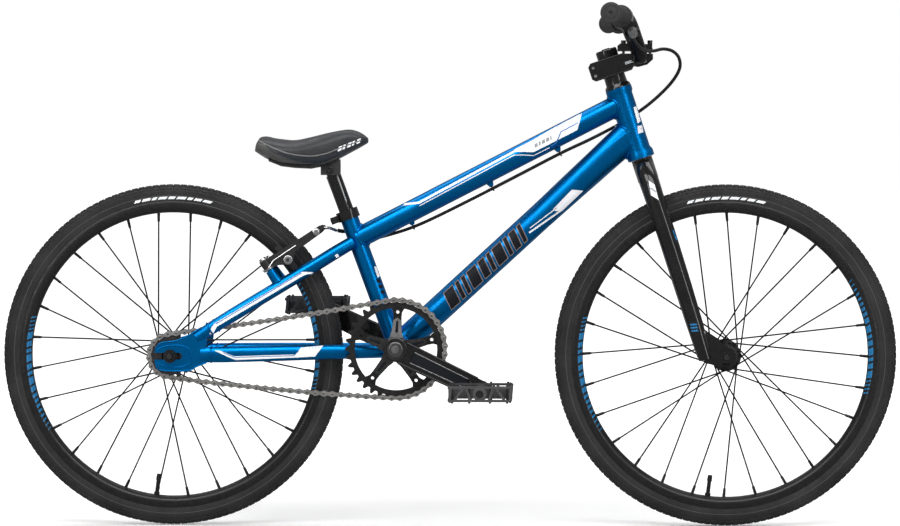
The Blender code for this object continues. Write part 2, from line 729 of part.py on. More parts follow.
def handlebar_crossbar():
    """The small brace between the bar's two risers."""
    end = Vector((0.2745, 0.078, 0.7262))
    obj = rod("handlebar_crossbar", Vector((end.x, -end.y, end.z)), end, 0.0080, 16)
    right = smooth_path(bar_marks()[1:7], 2)
    for side in (1, -1):
        path = [Vector((p.x, side * p.y, p.z)) for p in right]
        bar = sweep("bar_space", path, (BAR_RADIUS + 2 * GAP, BAR_RADIUS + 2 * GAP),
                    Vector((0.3, 0, 1)).normalized(), 10)
        cut(obj, bar)
    return finish(keep_largest(obj), BLACK_PAINT)


def grip(side):
    inner = sided(bar_marks()[6], side, 0.185)
    outer = sided(bar_marks()[7], side, 0.2985)
    along = (outer - inner).normalized()
    length = (outer - inner).length
    bore = BAR_RADIUS + GAP
    profile = [(0, bore), (0, 0.0163), (0.004, 0.0163), (0.006, 0.0138), (length - 0.006, 0.0138),
               (length - 0.004, 0.0150), (length + 0.0035, 0.0150), (length + 0.0035, 0.0),
               (length + 0.0005, 0.0), (length + 0.0005, bore)]
    first = profile.index((length + 0.0035, 0.0))
    profile = profile[first + 1:] + profile[:first + 1]
    obj = revolve(side_name(side, "grip"), inner, along, profile, 18)
    return finish(obj, GRIP_RUBBER)


# The lever pivots in front of the bar, just inboard of the right grip
LEVER_SEAT = Vector((0.2566, -0.1670, 0.7517))
LEVER_PIVOT = Vector((0.2703, -0.1670, 0.7280))
LEVER_AXIS = Vector((0.866, 0.0, 0.5)).normalized()


def brake_lever_perch():
    """A clamp round the bar with two cheeks that hold the lever's pivot."""
    bar_along = (bar_marks()[6] - bar_marks()[5]).normalized()
    obj = ring("brake_lever_perch", LEVER_SEAT, bar_along, -0.0070, 0.0070,
               BAR_RADIUS + GAP, 0.0150, 16)
    forward = (LEVER_PIVOT - LEVER_SEAT).normalized()
    arm = block("arm", LEVER_SEAT + forward * 0.0215 + Y * 0.0015, (0.0170, 0.0160, 0.0180),
                forward, LEVER_AXIS)
    join(obj, arm)
    for side in (1, -1):
        centre = LEVER_PIVOT + LEVER_AXIS * side * 0.0081
        low = centre - LEVER_AXIS * 0.0015
        join(obj, rod("cheek", low, centre + LEVER_AXIS * 0.0012, 0.0080, 16))
    slot = LEVER_PIVOT + forward * 0.0080 - Y * 0.0132
    cut(obj, block("lever_slot", slot, (0.0320, 0.0400, 0.0130), forward, LEVER_AXIS))
    cut(obj, rod("pin_hole", LEVER_PIVOT - LEVER_AXIS * 0.02, LEVER_PIVOT + LEVER_AXIS * 0.02,
                 0.0025 + RUNNING_GAP, 12))
    cable_start = front_cable_marks()[0]
    join(obj, rod("adjuster", cable_start - Y * 0.0120, cable_start - Y * 0.0012, 0.0040, 12))
    return finish(obj, BLACK_ALLOY)


def brake_lever():
    """The blade in front of the right grip."""
    root = LEVER_PIVOT
    forward = (LEVER_PIVOT - LEVER_SEAT).normalized()
    tip_marks = [root + forward * ahead - Y * outward for ahead, outward in
                 ((-0.001, -0.002), (0.004, 0.014), (0.004, 0.034), (-0.001, 0.062),
                  (-0.003, 0.086), (0.002, 0.100))]
    path = smooth_path(tip_marks, 2)
    count = len(path)
    sizes = [(0.0036 + 0.0010 * (i / count), 0.0056 + 0.0010 * math.sin(3 * i / count))
             for i in range(count)]
    obj = sweep("brake_lever", path, sizes, LEVER_AXIS, 8)
    hub = rod("hub", root - LEVER_AXIS * 0.0055, root + LEVER_AXIS * 0.0055, 0.0062, 16)
    join(obj, hub)
    join(obj, rod("pin", root - LEVER_AXIS * 0.0098, root + LEVER_AXIS * 0.0098, 0.0025, 12))
    return finish(obj, LEVER_ALLOY, root.copy())


# ---------------------------------------------------------------- drive


def tooth_outline(teeth):
    """A sprocket's outer edge: a flat tip and a round-bottomed gap for each tooth."""
    pitch_radius = CHAIN_PITCH / (2 * math.sin(math.pi / teeth))
    root = pitch_radius - 0.0039
    tip = pitch_radius + TOOTH_HEIGHT
    step = math.tau / teeth
    points = []
    for index in range(teeth):
        middle = step * index
        for part, radius in ((-0.36, root), (-0.12, tip), (0.12, tip), (0.36, root)):
            angle = middle + part * step
            points.append((radius * math.cos(angle), radius * math.sin(angle)))
    return points


def chainring():
    """The toothed ring with five inward tabs for its bolts."""
    middle = CRANK_AXIS + Y * CHAIN_Y
    obj = prism("chainring", tooth_outline(RING_TEETH), -PLATE_HALF, PLATE_HALF, middle)
    opening = []
    for index in range(60):
        degrees = 6 * index
        nearest = (degrees - FIRST_SPIDER_ANGLE + 36) % 72 - 36
        radius = 0.0480 if abs(nearest) < 7 else 0.0610
        angle = math.radians(degrees)
        opening.append((radius * math.cos(angle), radius * math.sin(angle)))
    cut(obj, prism("opening", opening, -0.01, 0.01, middle))
    for index in range(5):
        angle = math.radians(FIRST_SPIDER_ANGLE + 72 * index)
        spot = middle + Vector((math.cos(angle), 0, math.sin(angle))) * BOLT_CIRCLE
        cut(obj, rod("bolt_hole", spot - Y * 0.01, spot + Y * 0.01, 0.0026, 12))
    return finish(obj, BLACK_ALLOY, CRANK_AXIS.copy())


def rear_cog():
    """The freewheel: a toothed cog on a smooth body that turns on the hub."""
    hub = Vector((-HUB_X, 0, WHEEL_RADIUS))
    bore = 0.0130
    obj = prism("rear_cog", tooth_outline(COG_TEETH), -PLATE_HALF, PLATE_HALF, hub + Y * CHAIN_Y)
    body = rod("body", hub + Y * -0.0500, hub + Y * -0.0395, 0.0277, 32)
    join(obj, body)
    cut(obj, rod("bore", hub + Y * -0.06, hub + Y * -0.03, bore + GAP, 28))
    finish(obj, STEEL, hub.copy())


def chain_loop():
    """Pitch-line points right round both sprockets, each with its outward direction."""
    big = CHAIN_PITCH / (2 * math.sin(math.pi / RING_TEETH))
    small = CHAIN_PITCH / (2 * math.sin(math.pi / COG_TEETH))
    front = Vector((CRANK_AXIS.x, CRANK_AXIS.z))
    rear = Vector((-HUB_X, WHEEL_RADIUS))
    line = front - rear
    tilt = math.degrees(math.atan2(line.y, line.x))
    spread = math.degrees(math.acos((big - small) / line.length))
    points = []
    # Both straight runs leave the sprockets at the same angle, measured from the centre line
    lean = 90 - spread
    for step in range(19):
        angle = tilt - 90 - lean + (180 + 2 * lean) * step / 18
        points.append((front, big, angle))
    for step in range(11):
        angle = tilt + 90 + lean + (180 - 2 * lean) * step / 10
        points.append((rear, small, angle))
    loop = []
    for centre, radius, angle in points:
        outward = Vector((math.cos(math.radians(angle)), math.sin(math.radians(angle))))
        loop.append((centre + outward * radius, outward))
    return loop


def chain():
    """The closed loop of chain as a channel, open inwards, in which the teeth turn freely."""
    section = [(-0.0040, 0.0042), (0.0043, 0.0042), (0.0043, -0.0042), (-0.0040, -0.0042),
               (-0.0040, -0.0022), (0.0032, -0.0022), (0.0032, 0.0022), (-0.0040, 0.0022)]
    loop = chain_loop()
    vertices = []
    for point, outward in loop:
        for lift, wide in section:
            spot = point + outward * lift
            vertices.append(Vector((spot.x, CHAIN_Y + wide, spot.y)))
    faces = []
    size = len(section)
    for index in range(len(loop)):
        here = index * size
        there = (index + 1) % len(loop) * size
        for step in range(size):
            nxt = (step + 1) % size
            faces.append([here + step, here + nxt, there + nxt, there + step])
    return finish(mesh_object("chain", vertices, faces), CHAIN_STEEL)


def pedal_axis(side):
    forward = 1 if side == RIGHT else -1
    return CRANK_AXIS + Vector((
        forward * CRANK_LENGTH * math.cos(CRANK_DROP), 0,
        -forward * CRANK_LENGTH * math.sin(CRANK_DROP)))


def crank_arm(side):
    """A forged arm with a round boss at each end and a channel along its outer face."""
    eye = pedal_axis(side)
    along = (eye - CRANK_AXIS).normalized()
    up = Vector((-along.z, 0, along.x))
    out = Y * side
    obj = revolve(side_name(side, "crank_arm"), CRANK_AXIS, out,
                  [(0.0385, 0), (0.0385, 0.0150), (0.0500, 0.0180), (0.0642, 0.0180),
                   (0.0655, 0.0165), (0.0655, 0)], 20)
    outline = [(0.000, -0.0165), (0.060, -0.0155), (0.120, -0.0140), (0.140, -0.0138),
               (0.140, 0.0138), (0.120, 0.0140), (0.060, 0.0155), (0.000, 0.0165)]
    vertices = []
    for u, v in outline:
        shift = 0.0105 * u / CRANK_LENGTH
        for depth in (0.0505 + shift, 0.0634 + shift):
            vertices.append(CRANK_AXIS + along * u + up * v + out * depth)
    count = len(outline)
    faces = [[2 * i for i in range(count)], [2 * i + 1 for i in range(count)]]
    for i in range(count):
        j = (i + 1) % count
        faces.append([2 * i, 2 * j, 2 * j + 1, 2 * i + 1])
    join(obj, mesh_object("arm", vertices, faces))
    join(obj, rod("eye", eye + out * 0.0600, eye + out * 0.0750, 0.0144, 16))
    channel = [(0.028, -0.0075), (0.116, -0.0062), (0.121, 0.0), (0.116, 0.0062),
               (0.028, 0.0075), (0.0235, 0.0)]
    cut(obj, prism("channel", channel, 0.0615, 0.0900, CRANK_AXIS, along, up, out))
    if side == RIGHT:
        spider(obj)
    spindle_space = rod("spindle_space", CRANK_AXIS + out * 0.02, CRANK_AXIS + out * 0.0625,
                        SPINDLE_RADIUS + GAP, 16)
    cut(obj, spindle_space)
    cut(obj, rod("bolt_space", CRANK_AXIS + out * 0.0600, CRANK_AXIS + out * 0.09,
                 0.0123, 20))
    cut(obj, rod("pedal_hole", eye + out * 0.05, eye + out * 0.09, 0.0074 + GAP, 14))
    return finish(obj, BLACK_PAINT, CRANK_AXIS.copy())


def spider(obj):
    """Five arms that carry the chainring on the right crank."""
    middle = CRANK_AXIS.copy()
    for index in range(5):
        angle = math.radians(FIRST_SPIDER_ANGLE + 72 * index)
        along = Vector((math.cos(angle), 0, math.sin(angle)))
        up = Vector((-along.z, 0, along.x))
        outline = [(0.010, -0.0105), (0.020, -0.0080), (0.047, -0.0060)]
        outline += arc((BOLT_CIRCLE, 0), 0.0070, -70, 70, 6)
        outline += [(0.047, 0.0060), (0.020, 0.0080), (0.010, 0.0105)]
        low = -CHAIN_Y + PLATE_HALF + GAP
        join(obj, prism("spider_arm", outline, low, low + 0.0045, middle, along, up, Y * RIGHT))
    for index in range(5):
        angle = math.radians(FIRST_SPIDER_ANGLE + 72 * index)
        spot = middle + Vector((math.cos(angle), 0, math.sin(angle))) * BOLT_CIRCLE
        cut(obj, rod("bolt_hole", spot - Y * 0.06, spot, 0.0026, 12))


def crank_spindle():
    """The spindle through both bearings, with the domed bolt at each end."""
    half = [(0.0642, 0), (0.0642, 0.0040), (0.0630, 0.0080), (0.0615, SPINDLE_RADIUS)]
    profile = half + [(-y, r) for y, r in reversed(half)]
    obj = revolve("crank_spindle", CRANK_AXIS, Y, profile, 16)
    return finish(obj, STEEL, CRANK_AXIS.copy())


def pedal_spindle(side):
    eye = pedal_axis(side)
    profile = [(0.0640, 0), (0.0640, 0.0068), (0.0755, 0.0068), (0.0755, 0.0085),
               (0.0790, 0.0085), (0.0790, 0.0050), (0.1550, 0.0050), (0.1550, 0)]
    obj = revolve(side_name(side, "pedal_spindle"), eye, Y * side, profile, 14)
    return finish(obj, STEEL, CRANK_AXIS.copy())


def pedal_body(side):
    """A platform with windows round a central barrel, level at rest."""
    eye = pedal_axis(side)
    inner, outer = 0.0800, 0.1700
    outline = [(-0.0465, -0.0115), (0.0435, -0.0115), (0.0465, -0.0090), (0.0465, 0.0115),
               (-0.0435, 0.0115), (-0.0465, 0.0090)]
    obj = prism(side_name(side, "pedal_body"), outline, inner, outer, eye, normal=Y * side)
    for x in (-0.0250, 0.0250):
        for y in (0.1040, 0.1450):
            centre = eye + Vector((x, side * y, 0))
            cut(obj, block("window", centre, (0.0290, 0.0330, 0.05)))
    cut(obj, rod("bore", eye + Y * side * 0.07, eye + Y * side * 0.1555,
                 0.0050 + RUNNING_GAP, 14))
    for x in (-0.0395, 0.0395):
        for y in (0.0850, 0.1250, 0.1650):
            spot = eye + Vector((x, side * y, 0))
            join(obj, rod("pin", spot - Z * 0.0140, spot + Z * 0.0140, 0.0018, 6))
    return finish(obj, PEDAL_PLASTIC, eye.copy())


# ---------------------------------------------------------------- rear brake


def brake_arm(side):
    """A linear-pull arm on its boss, leaning in towards the rim."""
    pivot = sided(BRAKE_PIVOT, side, BRAKE_PIVOT_Y)
    tip = sided(BRAKE_PIVOT + BRAKE_ALONG * 0.098, side, 0.0270)
    along = (tip - pivot).normalized()
    up = BRAKE_OUT
    out = along.cross(up).normalized()
    outline = [(-0.006, -0.0070), (0.012, -0.0080), (0.024, -0.0150), (0.038, -0.0150),
               (0.046, -0.0062), (0.092, -0.0050), (0.100, -0.0030), (0.102, 0.0015),
               (0.098, 0.0050), (0.040, 0.0062), (-0.006, 0.0070)]
    obj = prism(side_name(side, "brake_arm"), outline, -0.0040, 0.0040, pivot, along, up, out)
    join(obj, rod("pivot_tube", pivot - up * 0.0082, pivot + up * 0.0082, 0.0072, 20))
    cut(obj, rod("pivot_bore", pivot - up * 0.03, pivot + up * 0.03, 0.0040 + RUNNING_GAP, 16))
    hold = pad_spot(side, 0.0)
    cut(obj, rod("pad_hole", hold + Y * side * 0.010, hold + Y * side * 0.060, 0.0033, 16))
    anchor = pivot + along * 0.095
    cut(obj, rod("wire_hole", anchor - Y * 0.02, anchor + Y * 0.02, 0.0017, 12))
    return finish(obj, BRAKE_ALLOY, pivot.copy())


def pad_spot(side, extra):
    """Where the pad's bolt meets the rim, moved outwards by the extra distance."""
    return Vector((-0.237, side * (RIM_HALF_WIDTH + 0.0018 + extra), 0.396))


def brake_pad(side):
    """A curved block that faces the rim, on a threaded stud through the arm."""
    hub = Vector((-HUB_X, 0, WHEEL_RADIUS))
    middle = math.degrees(math.atan2(0.396 - hub.z, -0.237 - hub.x))
    outline = arc((hub.x, hub.z), 0.2200, middle - 7, middle + 7, 6)
    outline += arc((hub.x, hub.z), 0.2278, middle + 7, middle - 7, 6)
    low = RIM_HALF_WIDTH + 0.0018
    obj = prism(side_name(side, "brake_pad"), outline, low, low + 0.0090, normal=Y * side)
    spot = pad_spot(side, 0.0060)
    end = pad_spot(side, 0.0330)
    join(obj, rod("stud", spot, end, 0.0029, 14))
    join(obj, rod("nut", pad_spot(side, 0.0300), pad_spot(side, 0.0345), 0.0052, 20))
    pivot = sided(BRAKE_PIVOT, side, BRAKE_PIVOT_Y)
    return finish(obj, PAD_RUBBER, pivot.copy())


def noodle_marks():
    anchor = BRAKE_PIVOT + BRAKE_ALONG * 0.095
    return [Vector((anchor.x, 0.0220, anchor.z)), Vector((anchor.x, 0.0150, anchor.z)),
            Vector((anchor.x + 0.004, 0.0090, anchor.z + 0.001)),
            Vector((anchor.x + 0.012, 0.0100, anchor.z + 0.001)),
            Vector((anchor.x + 0.022, 0.0168, anchor.z - 0.003))]


# ---------------------------------------------------------------- cable


def front_cable_marks():
    """From the lever, round in front of the head tube to its left side."""
    return [Vector((0.2690, -0.1480, 0.7290)), Vector((0.2740, -0.1220, 0.7190)),
            Vector((0.2830, -0.0950, 0.7090)), Vector((0.2930, -0.0700, 0.7045)),
            Vector((0.3040, -0.0480, 0.7050)), Vector((0.3180, -0.0290, 0.7080)),
            Vector((0.3320, -0.0170, 0.7050)), Vector((0.3415, -0.0080, 0.6950)),
            Vector((0.3425, 0.0020, 0.6790)), Vector((0.3300, 0.0150, 0.6580)),
            Vector((0.3060, 0.0260, 0.6340)), Vector((0.2800, 0.0290, 0.6140)),
            Vector((0.2480, 0.0270, 0.5940))]


def rear_cable_marks():
    """Under the top tube, past the left of the seat tube, to the brake."""
    return [Vector((0.2468, 0.0264, 0.5934)), Vector((0.2100, 0.0120, 0.5745)),
            Vector((0.1655, 0.0060, 0.5535)), Vector((0.1000, 0.0060, 0.5195)),
            Vector((0.0300, 0.0060, 0.4835)), Vector((-0.0400, 0.0070, 0.4495)),
            Vector((-0.0850, 0.0110, 0.4335)), Vector((-0.1250, 0.0185, 0.4250)),
            Vector((-0.1500, 0.0215, 0.4350)), Vector((-0.1664, 0.0172, 0.4385))]


def cable(name, marks, steps):
    return sweep(name, smooth_path(marks, steps), (CABLE_RADIUS, CABLE_RADIUS),
                 Vector((0.25, 1.0, 0.35)).normalized(), 6)


# ---------------------------------------------------------------- seat


def seat_post():
    head = Vector((-0.1770, 0, 0.5290))
    obj = rod("seat_post", at_seat(0.1350), at_seat(0.2750), SEAT_POST_RADIUS, 20)
    join(obj, rod("neck", at_seat(0.2650), at_seat(0.2790), 0.0095, 16))
    barrel = rod("barrel", head - Y * 0.0110, head + Y * 0.0110, 0.0080, 18)
    join(obj, barrel)
    return finish(obj, BLACK_PAINT, at_seat(0.2))


def loft(name, stations, segments=16, power=0.75):
    """A closed skin through rounded sections, each given as (x, bottom, top, half width)."""
    vertices = []
    for x, bottom, top, half in stations:
        middle = (bottom + top) / 2
        tall = (top - bottom) / 2
        for step in range(segments):
            angle = math.tau * step / segments
            c, s = math.cos(angle), math.sin(angle)
            y = half * math.copysign(abs(c) ** power, c)
            z = middle + tall * math.copysign(abs(s) ** power, s)
            vertices.append(Vector((x, y, z)))
    faces = []
    for index in range(len(stations) - 1):
        for step in range(segments):
            nxt = (step + 1) % segments
            base = index * segments
            faces.append([base + step, base + nxt, base + segments + nxt, base + segments + step])
    faces.append(list(range(segments)))
    last = (len(stations) - 1) * segments
    faces.append([last + step for step in range(segments)])
    return mesh_object(name, vertices, faces)


def saddle():
    """The padded seat and the hard base under it, which tilts on the post's head."""
    pivot = Vector((-0.1770, 0, 0.5290))
    pad = [(-0.2850, 0.5595, 0.5690, 0.030), (-0.2790, 0.5530, 0.5745, 0.046),
           (-0.2660, 0.5440, 0.5755, 0.055), (-0.2480, 0.5370, 0.5735, 0.0585),
           (-0.2280, 0.5345, 0.5725, 0.056), (-0.2050, 0.5335, 0.5770, 0.047),
           (-0.1850, 0.5370, 0.5820, 0.037), (-0.1640, 0.5455, 0.5865, 0.029),
           (-0.1450, 0.5555, 0.5890, 0.024), (-0.1300, 0.5635, 0.5845, 0.019),
           (-0.1190, 0.5700, 0.5765, 0.010)]
    finish(loft("saddle_pad", pad), SADDLE_COVER, pivot.copy(), sharp=50)
    base = []
    for x, bottom, top, half in pad[2:8]:
        base.append((x, bottom - 0.0028, bottom + 0.0060, half * 0.78))
    plate = loft("saddle_base", base)
    join(plate, block("bracket", pivot + Vector((0.001, 0, 0.004)), (0.0280, 0.0330, 0.0230)))
    cut(plate, loft("pad_space", [(x, b - 2 * GAP, t + GAP, h + GAP) for x, b, t, h in pad]))
    cut(plate, block("fork_gap", pivot + Vector((0, 0, -0.006)), (0.05, 0.0226, 0.0290)))
    barrel_space = rod("barrel_space", pivot - Y * 0.0113, pivot + Y * 0.0113, 0.0084, 24)
    cut(plate, barrel_space)
    finish(keep_largest(plate), SADDLE_BASE, pivot.copy())


# ---------------------------------------------------------------- assembly


def build():
    wheels()
    head_tube()
    headset_bearings()
    down_tube()
    top_tube()
    seat_tube()
    crank_shell()
    crank_bearings()
    for side in (RIGHT, LEFT):
        seatstay(side)
        chainstay(side)
    seat_clamp()
    fork()
    headset_pieces()
    stem()
    handlebar()
    handlebar_crossbar()
    brake_lever_perch()
    brake_lever()
    chainring()
    rear_cog()
    chain()
    crank_spindle()
    for side in (RIGHT, LEFT):
        grip(side)
        crank_arm(side)
        pedal_spindle(side)
        pedal_body(side)
        brake_arm(side)
        brake_pad(side)
    noodle = sweep("brake_noodle", smooth_path(noodle_marks(), 3), (0.0026, 0.0026),
                   Vector((0.1, 0.2, 1.0)).normalized(), 10)
    finish(noodle, STEEL)
    finish(cable("front_cable_loop", front_cable_marks(), 4), CABLE_BLACK)
    finish(cable("rear_brake_cable", rear_cable_marks(), 4), CABLE_BLACK)
    seat_post()
    saddle()


clear_scene()
BLUE = material("cobalt_paint", (0.01, 0.13, 0.55), 0.6, 0.3)
BLACK_PAINT = material("gloss_black_paint", (0.01, 0.01, 0.012), 0.2, 0.25)
BLACK_ALLOY = material("black_alloy", (0.02, 0.02, 0.022), 0.8, 0.4)
BRAKE_ALLOY = material("brake_alloy", (0.03, 0.03, 0.03), 0.7, 0.4)
LEVER_ALLOY = material("lever_alloy", (0.04, 0.04, 0.045), 0.8, 0.3)
STEEL = material("bright_steel", (0.6, 0.6, 0.6), 1.0, 0.3)
CHAIN_STEEL = material("chain_steel", (0.35, 0.34, 0.33), 1.0, 0.4)
RUBBER = material("tyre_rubber", (0.03, 0.03, 0.03), 0.0, 0.8)
GRIP_RUBBER = material("grip_rubber", (0.04, 0.04, 0.04), 0.0, 0.7)
PAD_RUBBER = material("pad_rubber", (0.03, 0.03, 0.03), 0.0, 0.8)
CABLE_BLACK = material("cable_housing", (0.015, 0.015, 0.015), 0.0, 0.5)
PEDAL_PLASTIC = material("pedal_plastic", (0.05, 0.05, 0.05), 0.0, 0.5)
SADDLE_COVER = material("saddle_cover", (0.06, 0.06, 0.065), 0.0, 0.6)
SADDLE_BASE = material("saddle_base", (0.03, 0.03, 0.03), 0.0, 0.5)
build()
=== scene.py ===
"""Looks of a BMX bicycle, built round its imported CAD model. Metres, +X forward, +Z up."""

import json
import math

import bmesh
import bpy
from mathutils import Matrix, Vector
from mathutils.bvhtree import BVHTree

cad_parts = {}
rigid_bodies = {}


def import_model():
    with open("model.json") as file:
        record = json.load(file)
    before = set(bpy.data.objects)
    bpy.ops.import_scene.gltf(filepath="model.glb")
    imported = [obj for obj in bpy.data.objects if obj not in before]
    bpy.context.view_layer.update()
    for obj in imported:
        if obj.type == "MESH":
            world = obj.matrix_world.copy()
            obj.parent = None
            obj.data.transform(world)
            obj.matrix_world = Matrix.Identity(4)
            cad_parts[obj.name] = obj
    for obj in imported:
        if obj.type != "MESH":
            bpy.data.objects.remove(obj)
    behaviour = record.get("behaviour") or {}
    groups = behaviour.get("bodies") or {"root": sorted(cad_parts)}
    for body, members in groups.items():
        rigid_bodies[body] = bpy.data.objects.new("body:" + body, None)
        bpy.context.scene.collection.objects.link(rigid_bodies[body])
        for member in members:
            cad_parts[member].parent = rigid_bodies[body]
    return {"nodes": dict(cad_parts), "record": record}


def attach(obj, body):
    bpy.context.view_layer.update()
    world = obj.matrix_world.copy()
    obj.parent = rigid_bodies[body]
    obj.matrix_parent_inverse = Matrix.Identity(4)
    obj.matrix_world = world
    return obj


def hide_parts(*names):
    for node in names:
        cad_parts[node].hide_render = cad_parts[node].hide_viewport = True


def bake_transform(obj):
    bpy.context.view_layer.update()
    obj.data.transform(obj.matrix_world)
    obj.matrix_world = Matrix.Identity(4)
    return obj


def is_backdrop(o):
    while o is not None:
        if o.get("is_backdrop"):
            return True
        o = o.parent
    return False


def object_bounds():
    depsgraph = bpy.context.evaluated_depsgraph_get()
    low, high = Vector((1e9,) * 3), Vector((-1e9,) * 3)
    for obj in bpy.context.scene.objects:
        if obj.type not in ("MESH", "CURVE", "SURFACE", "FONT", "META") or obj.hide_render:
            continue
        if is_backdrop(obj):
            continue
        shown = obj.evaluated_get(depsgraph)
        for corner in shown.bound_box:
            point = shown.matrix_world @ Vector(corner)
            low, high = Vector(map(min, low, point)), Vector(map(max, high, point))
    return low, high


for startup_object in list(bpy.data.objects):
    bpy.data.objects.remove(startup_object)
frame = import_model()
cad_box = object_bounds()

# Places and sizes that the CAD model uses too
X = Vector((1, 0, 0))
Y = Vector((0, 1, 0))
Z = Vector((0, 0, 1))
FRONT_HUB = Vector((0.411, 0, 0.254))
REAR_HUB = Vector((-0.411, 0, 0.254))
CRANK = Vector((-0.077, 0, 0.2643))
HEAD_LOW = Vector((0.2861, 0, 0.5466))
HEAD_LEAN = math.radians(18.3)
STEER_UP = Vector((-math.sin(HEAD_LEAN), 0, math.cos(HEAD_LEAN)))
STEER_FORWARD = Vector((math.cos(HEAD_LEAN), 0, math.sin(HEAD_LEAN)))
BAR_RADIUS = 0.0111
CHAIN_Y = -0.043
CHAIN_PITCH = 0.0127
RING_TEETH = 36
COG_TEETH = 16
SPOKE_COUNT = 28
SPOKE_LAY = 77  # degrees round the hub between a spoke's two ends
BRAKE_PIVOT = Vector((-0.269, 0, 0.388))
BRAKE_LEAN = math.radians(34.2)
BRAKE_ALONG = Vector((math.cos(BRAKE_LEAN), 0, math.sin(BRAKE_LEAN)))
BRAKE_OUT = Vector((-math.sin(BRAKE_LEAN), 0, math.cos(BRAKE_LEAN)))
SEAT_UP = Vector((-0.3469, 0, 0.9379))
SEAT_FORWARD = Vector((0.9379, 0, 0.3469))
BAR_CLAMP = Vector((0.2838, 0, 0.6968))
CRANK_FACE = 0.0634  # half width over the crank arms at their bolts
ARM_LENGTH = 0.140
ARM_FLARE = 0.075  # how far a crank arm leans outward, per metre of its length
SIDES = ((-1, "right"), (1, "left"))

# How far a print stands off its surface, and a second print that lies over the first
DECAL_LIFT = 0.00025
OVERPRINT_LIFT = 0.0004


# ---- materials


def set_inputs(shader, **values):
    """Sockets by name, with an underscore for each space."""
    for name, value in values.items():
        shader.inputs[name.replace("_", " ")].default_value = value


def plain(name, colour, metallic, roughness, coat=0.0):
    """A Principled material and its shader, to which a pattern is added."""
    material = bpy.data.materials.new(name)
    material.use_nodes = True
    shader = material.node_tree.nodes["Principled BSDF"]
    set_inputs(shader, Base_Color=(*colour, 1), Metallic=metallic, Roughness=roughness,
               Coat_Weight=coat, Coat_Roughness=0.06)
    return material, shader


def add_node(material, kind, **values):
    """A new node; each value is a property of the node or one of its sockets."""
    node = material.node_tree.nodes.new(kind)
    for name, value in values.items():
        if hasattr(node, name):
            setattr(node, name, value)
        else:
            node.inputs[name.replace("_", " ")].default_value = value
    return node


def own_place(material):
    """The object's own coordinates."""
    return add_node(material, "ShaderNodeTexCoord").outputs["Object"]


def noise(material, scale, detail=3.0, stretch=(1, 1, 1)):
    """A noise in the object's own coordinates, which may be stretched along one way."""
    spread = add_node(material, "ShaderNodeMapping", Scale=stretch)
    cloud = add_node(material, "ShaderNodeTexNoise", Scale=scale, Detail=detail)
    material.node_tree.links.new(own_place(material), spread.inputs["Vector"])
    material.node_tree.links.new(spread.outputs["Vector"], cloud.inputs["Vector"])
    return cloud.outputs["Fac"]


def cells(material, scale):
    """The distance to the nearest of many scattered points."""
    scatter = add_node(material, "ShaderNodeTexVoronoi", Scale=scale)
    material.node_tree.links.new(own_place(material), scatter.inputs["Vector"])
    return scatter.outputs["Distance"]


def remap(material, factor, source, target):
    """The factor with its source range stretched to the target range."""
    spread = add_node(material, "ShaderNodeMapRange", From_Min=source[0], From_Max=source[1],
                      To_Min=target[0], To_Max=target[1])
    material.node_tree.links.new(factor, spread.inputs["Value"])
    return spread.outputs["Result"]


def ramp(material, factor, low, high, first, second):
    """Two colours over the stretch of the factor from low to high."""
    node = add_node(material, "ShaderNodeValToRGB")
    node.color_ramp.elements[0].position = low
    node.color_ramp.elements[1].position = high
    node.color_ramp.elements[0].color = (*first, 1)
    node.color_ramp.elements[1].color = (*second, 1)
    material.node_tree.links.new(factor, node.inputs["Fac"])
    return node.outputs["Color"]


def vary_colour(material, shader, factor, first, second, low=0.35, high=0.65):
    colour = ramp(material, factor, low, high, first, second)
    material.node_tree.links.new(colour, shader.inputs["Base Color"])


def vary_roughness(material, shader, factor, smooth, rough):
    spread = remap(material, factor, (0.3, 0.7), (smooth, rough))
    material.node_tree.links.new(spread, shader.inputs["Roughness"])


def bump(material, shader, height, strength, distance):
    node = add_node(material, "ShaderNodeBump", Strength=strength, Distance=distance)
    material.node_tree.links.new(height, node.inputs["Height"])
    material.node_tree.links.new(node.outputs["Normal"], shader.inputs["Normal"])


def metallic_paint(name, deep, bright):
    """Thinly coated paint with fine metal flake and a little orange peel."""
    material, shader = plain(name, bright, 0.98, 0.38, coat=0.04)
    vary_colour(material, shader, cells(material, 2600.0), deep, bright, 0.1, 0.7)
    vary_roughness(material, shader, noise(material, 30), 0.30, 0.38)
    bump(material, shader, noise(material, 260, 1.0), 0.05, 0.0004)
    return material


def gloss_black(name, tone, roughness=0.16, coat=1.0, shine=0.25):
    """Black lacquer: faint dust and peel under a clear coat."""
    material, shader = plain(name, (tone,) * 3, 0.0, roughness, coat=coat)
    cloud = noise(material, 45)
    vary_colour(material, shader, cloud, (tone * 0.8,) * 3, (tone * 1.25,) * 3)
    vary_roughness(material, shader, cloud, roughness, roughness + 0.08)
    bump(material, shader, noise(material, 320, 1.0), 0.04, 0.0003)
    set_inputs(shader, Specular_IOR_Level=shine)
    return material


def metal(name, tone, roughness, grain=(1, 1, 1), warm=0.0, metallic=1.0):
    """Cast, turned or anodised metal with grain along one way and rubbed, smoother spots."""
    light = (tone * (1 + warm), tone, tone * (1 - warm))
    material, shader = plain(name, light, metallic, roughness)
    streaks = noise(material, 180, 4.0, grain)
    vary_colour(material, shader, streaks, tuple(c * 0.82 for c in light),
                tuple(min(1.0, c * 1.12) for c in light))
    vary_roughness(material, shader, noise(material, 60), roughness * 0.8, roughness * 1.25)
    bump(material, shader, streaks, 0.10, 0.0004)
    return material


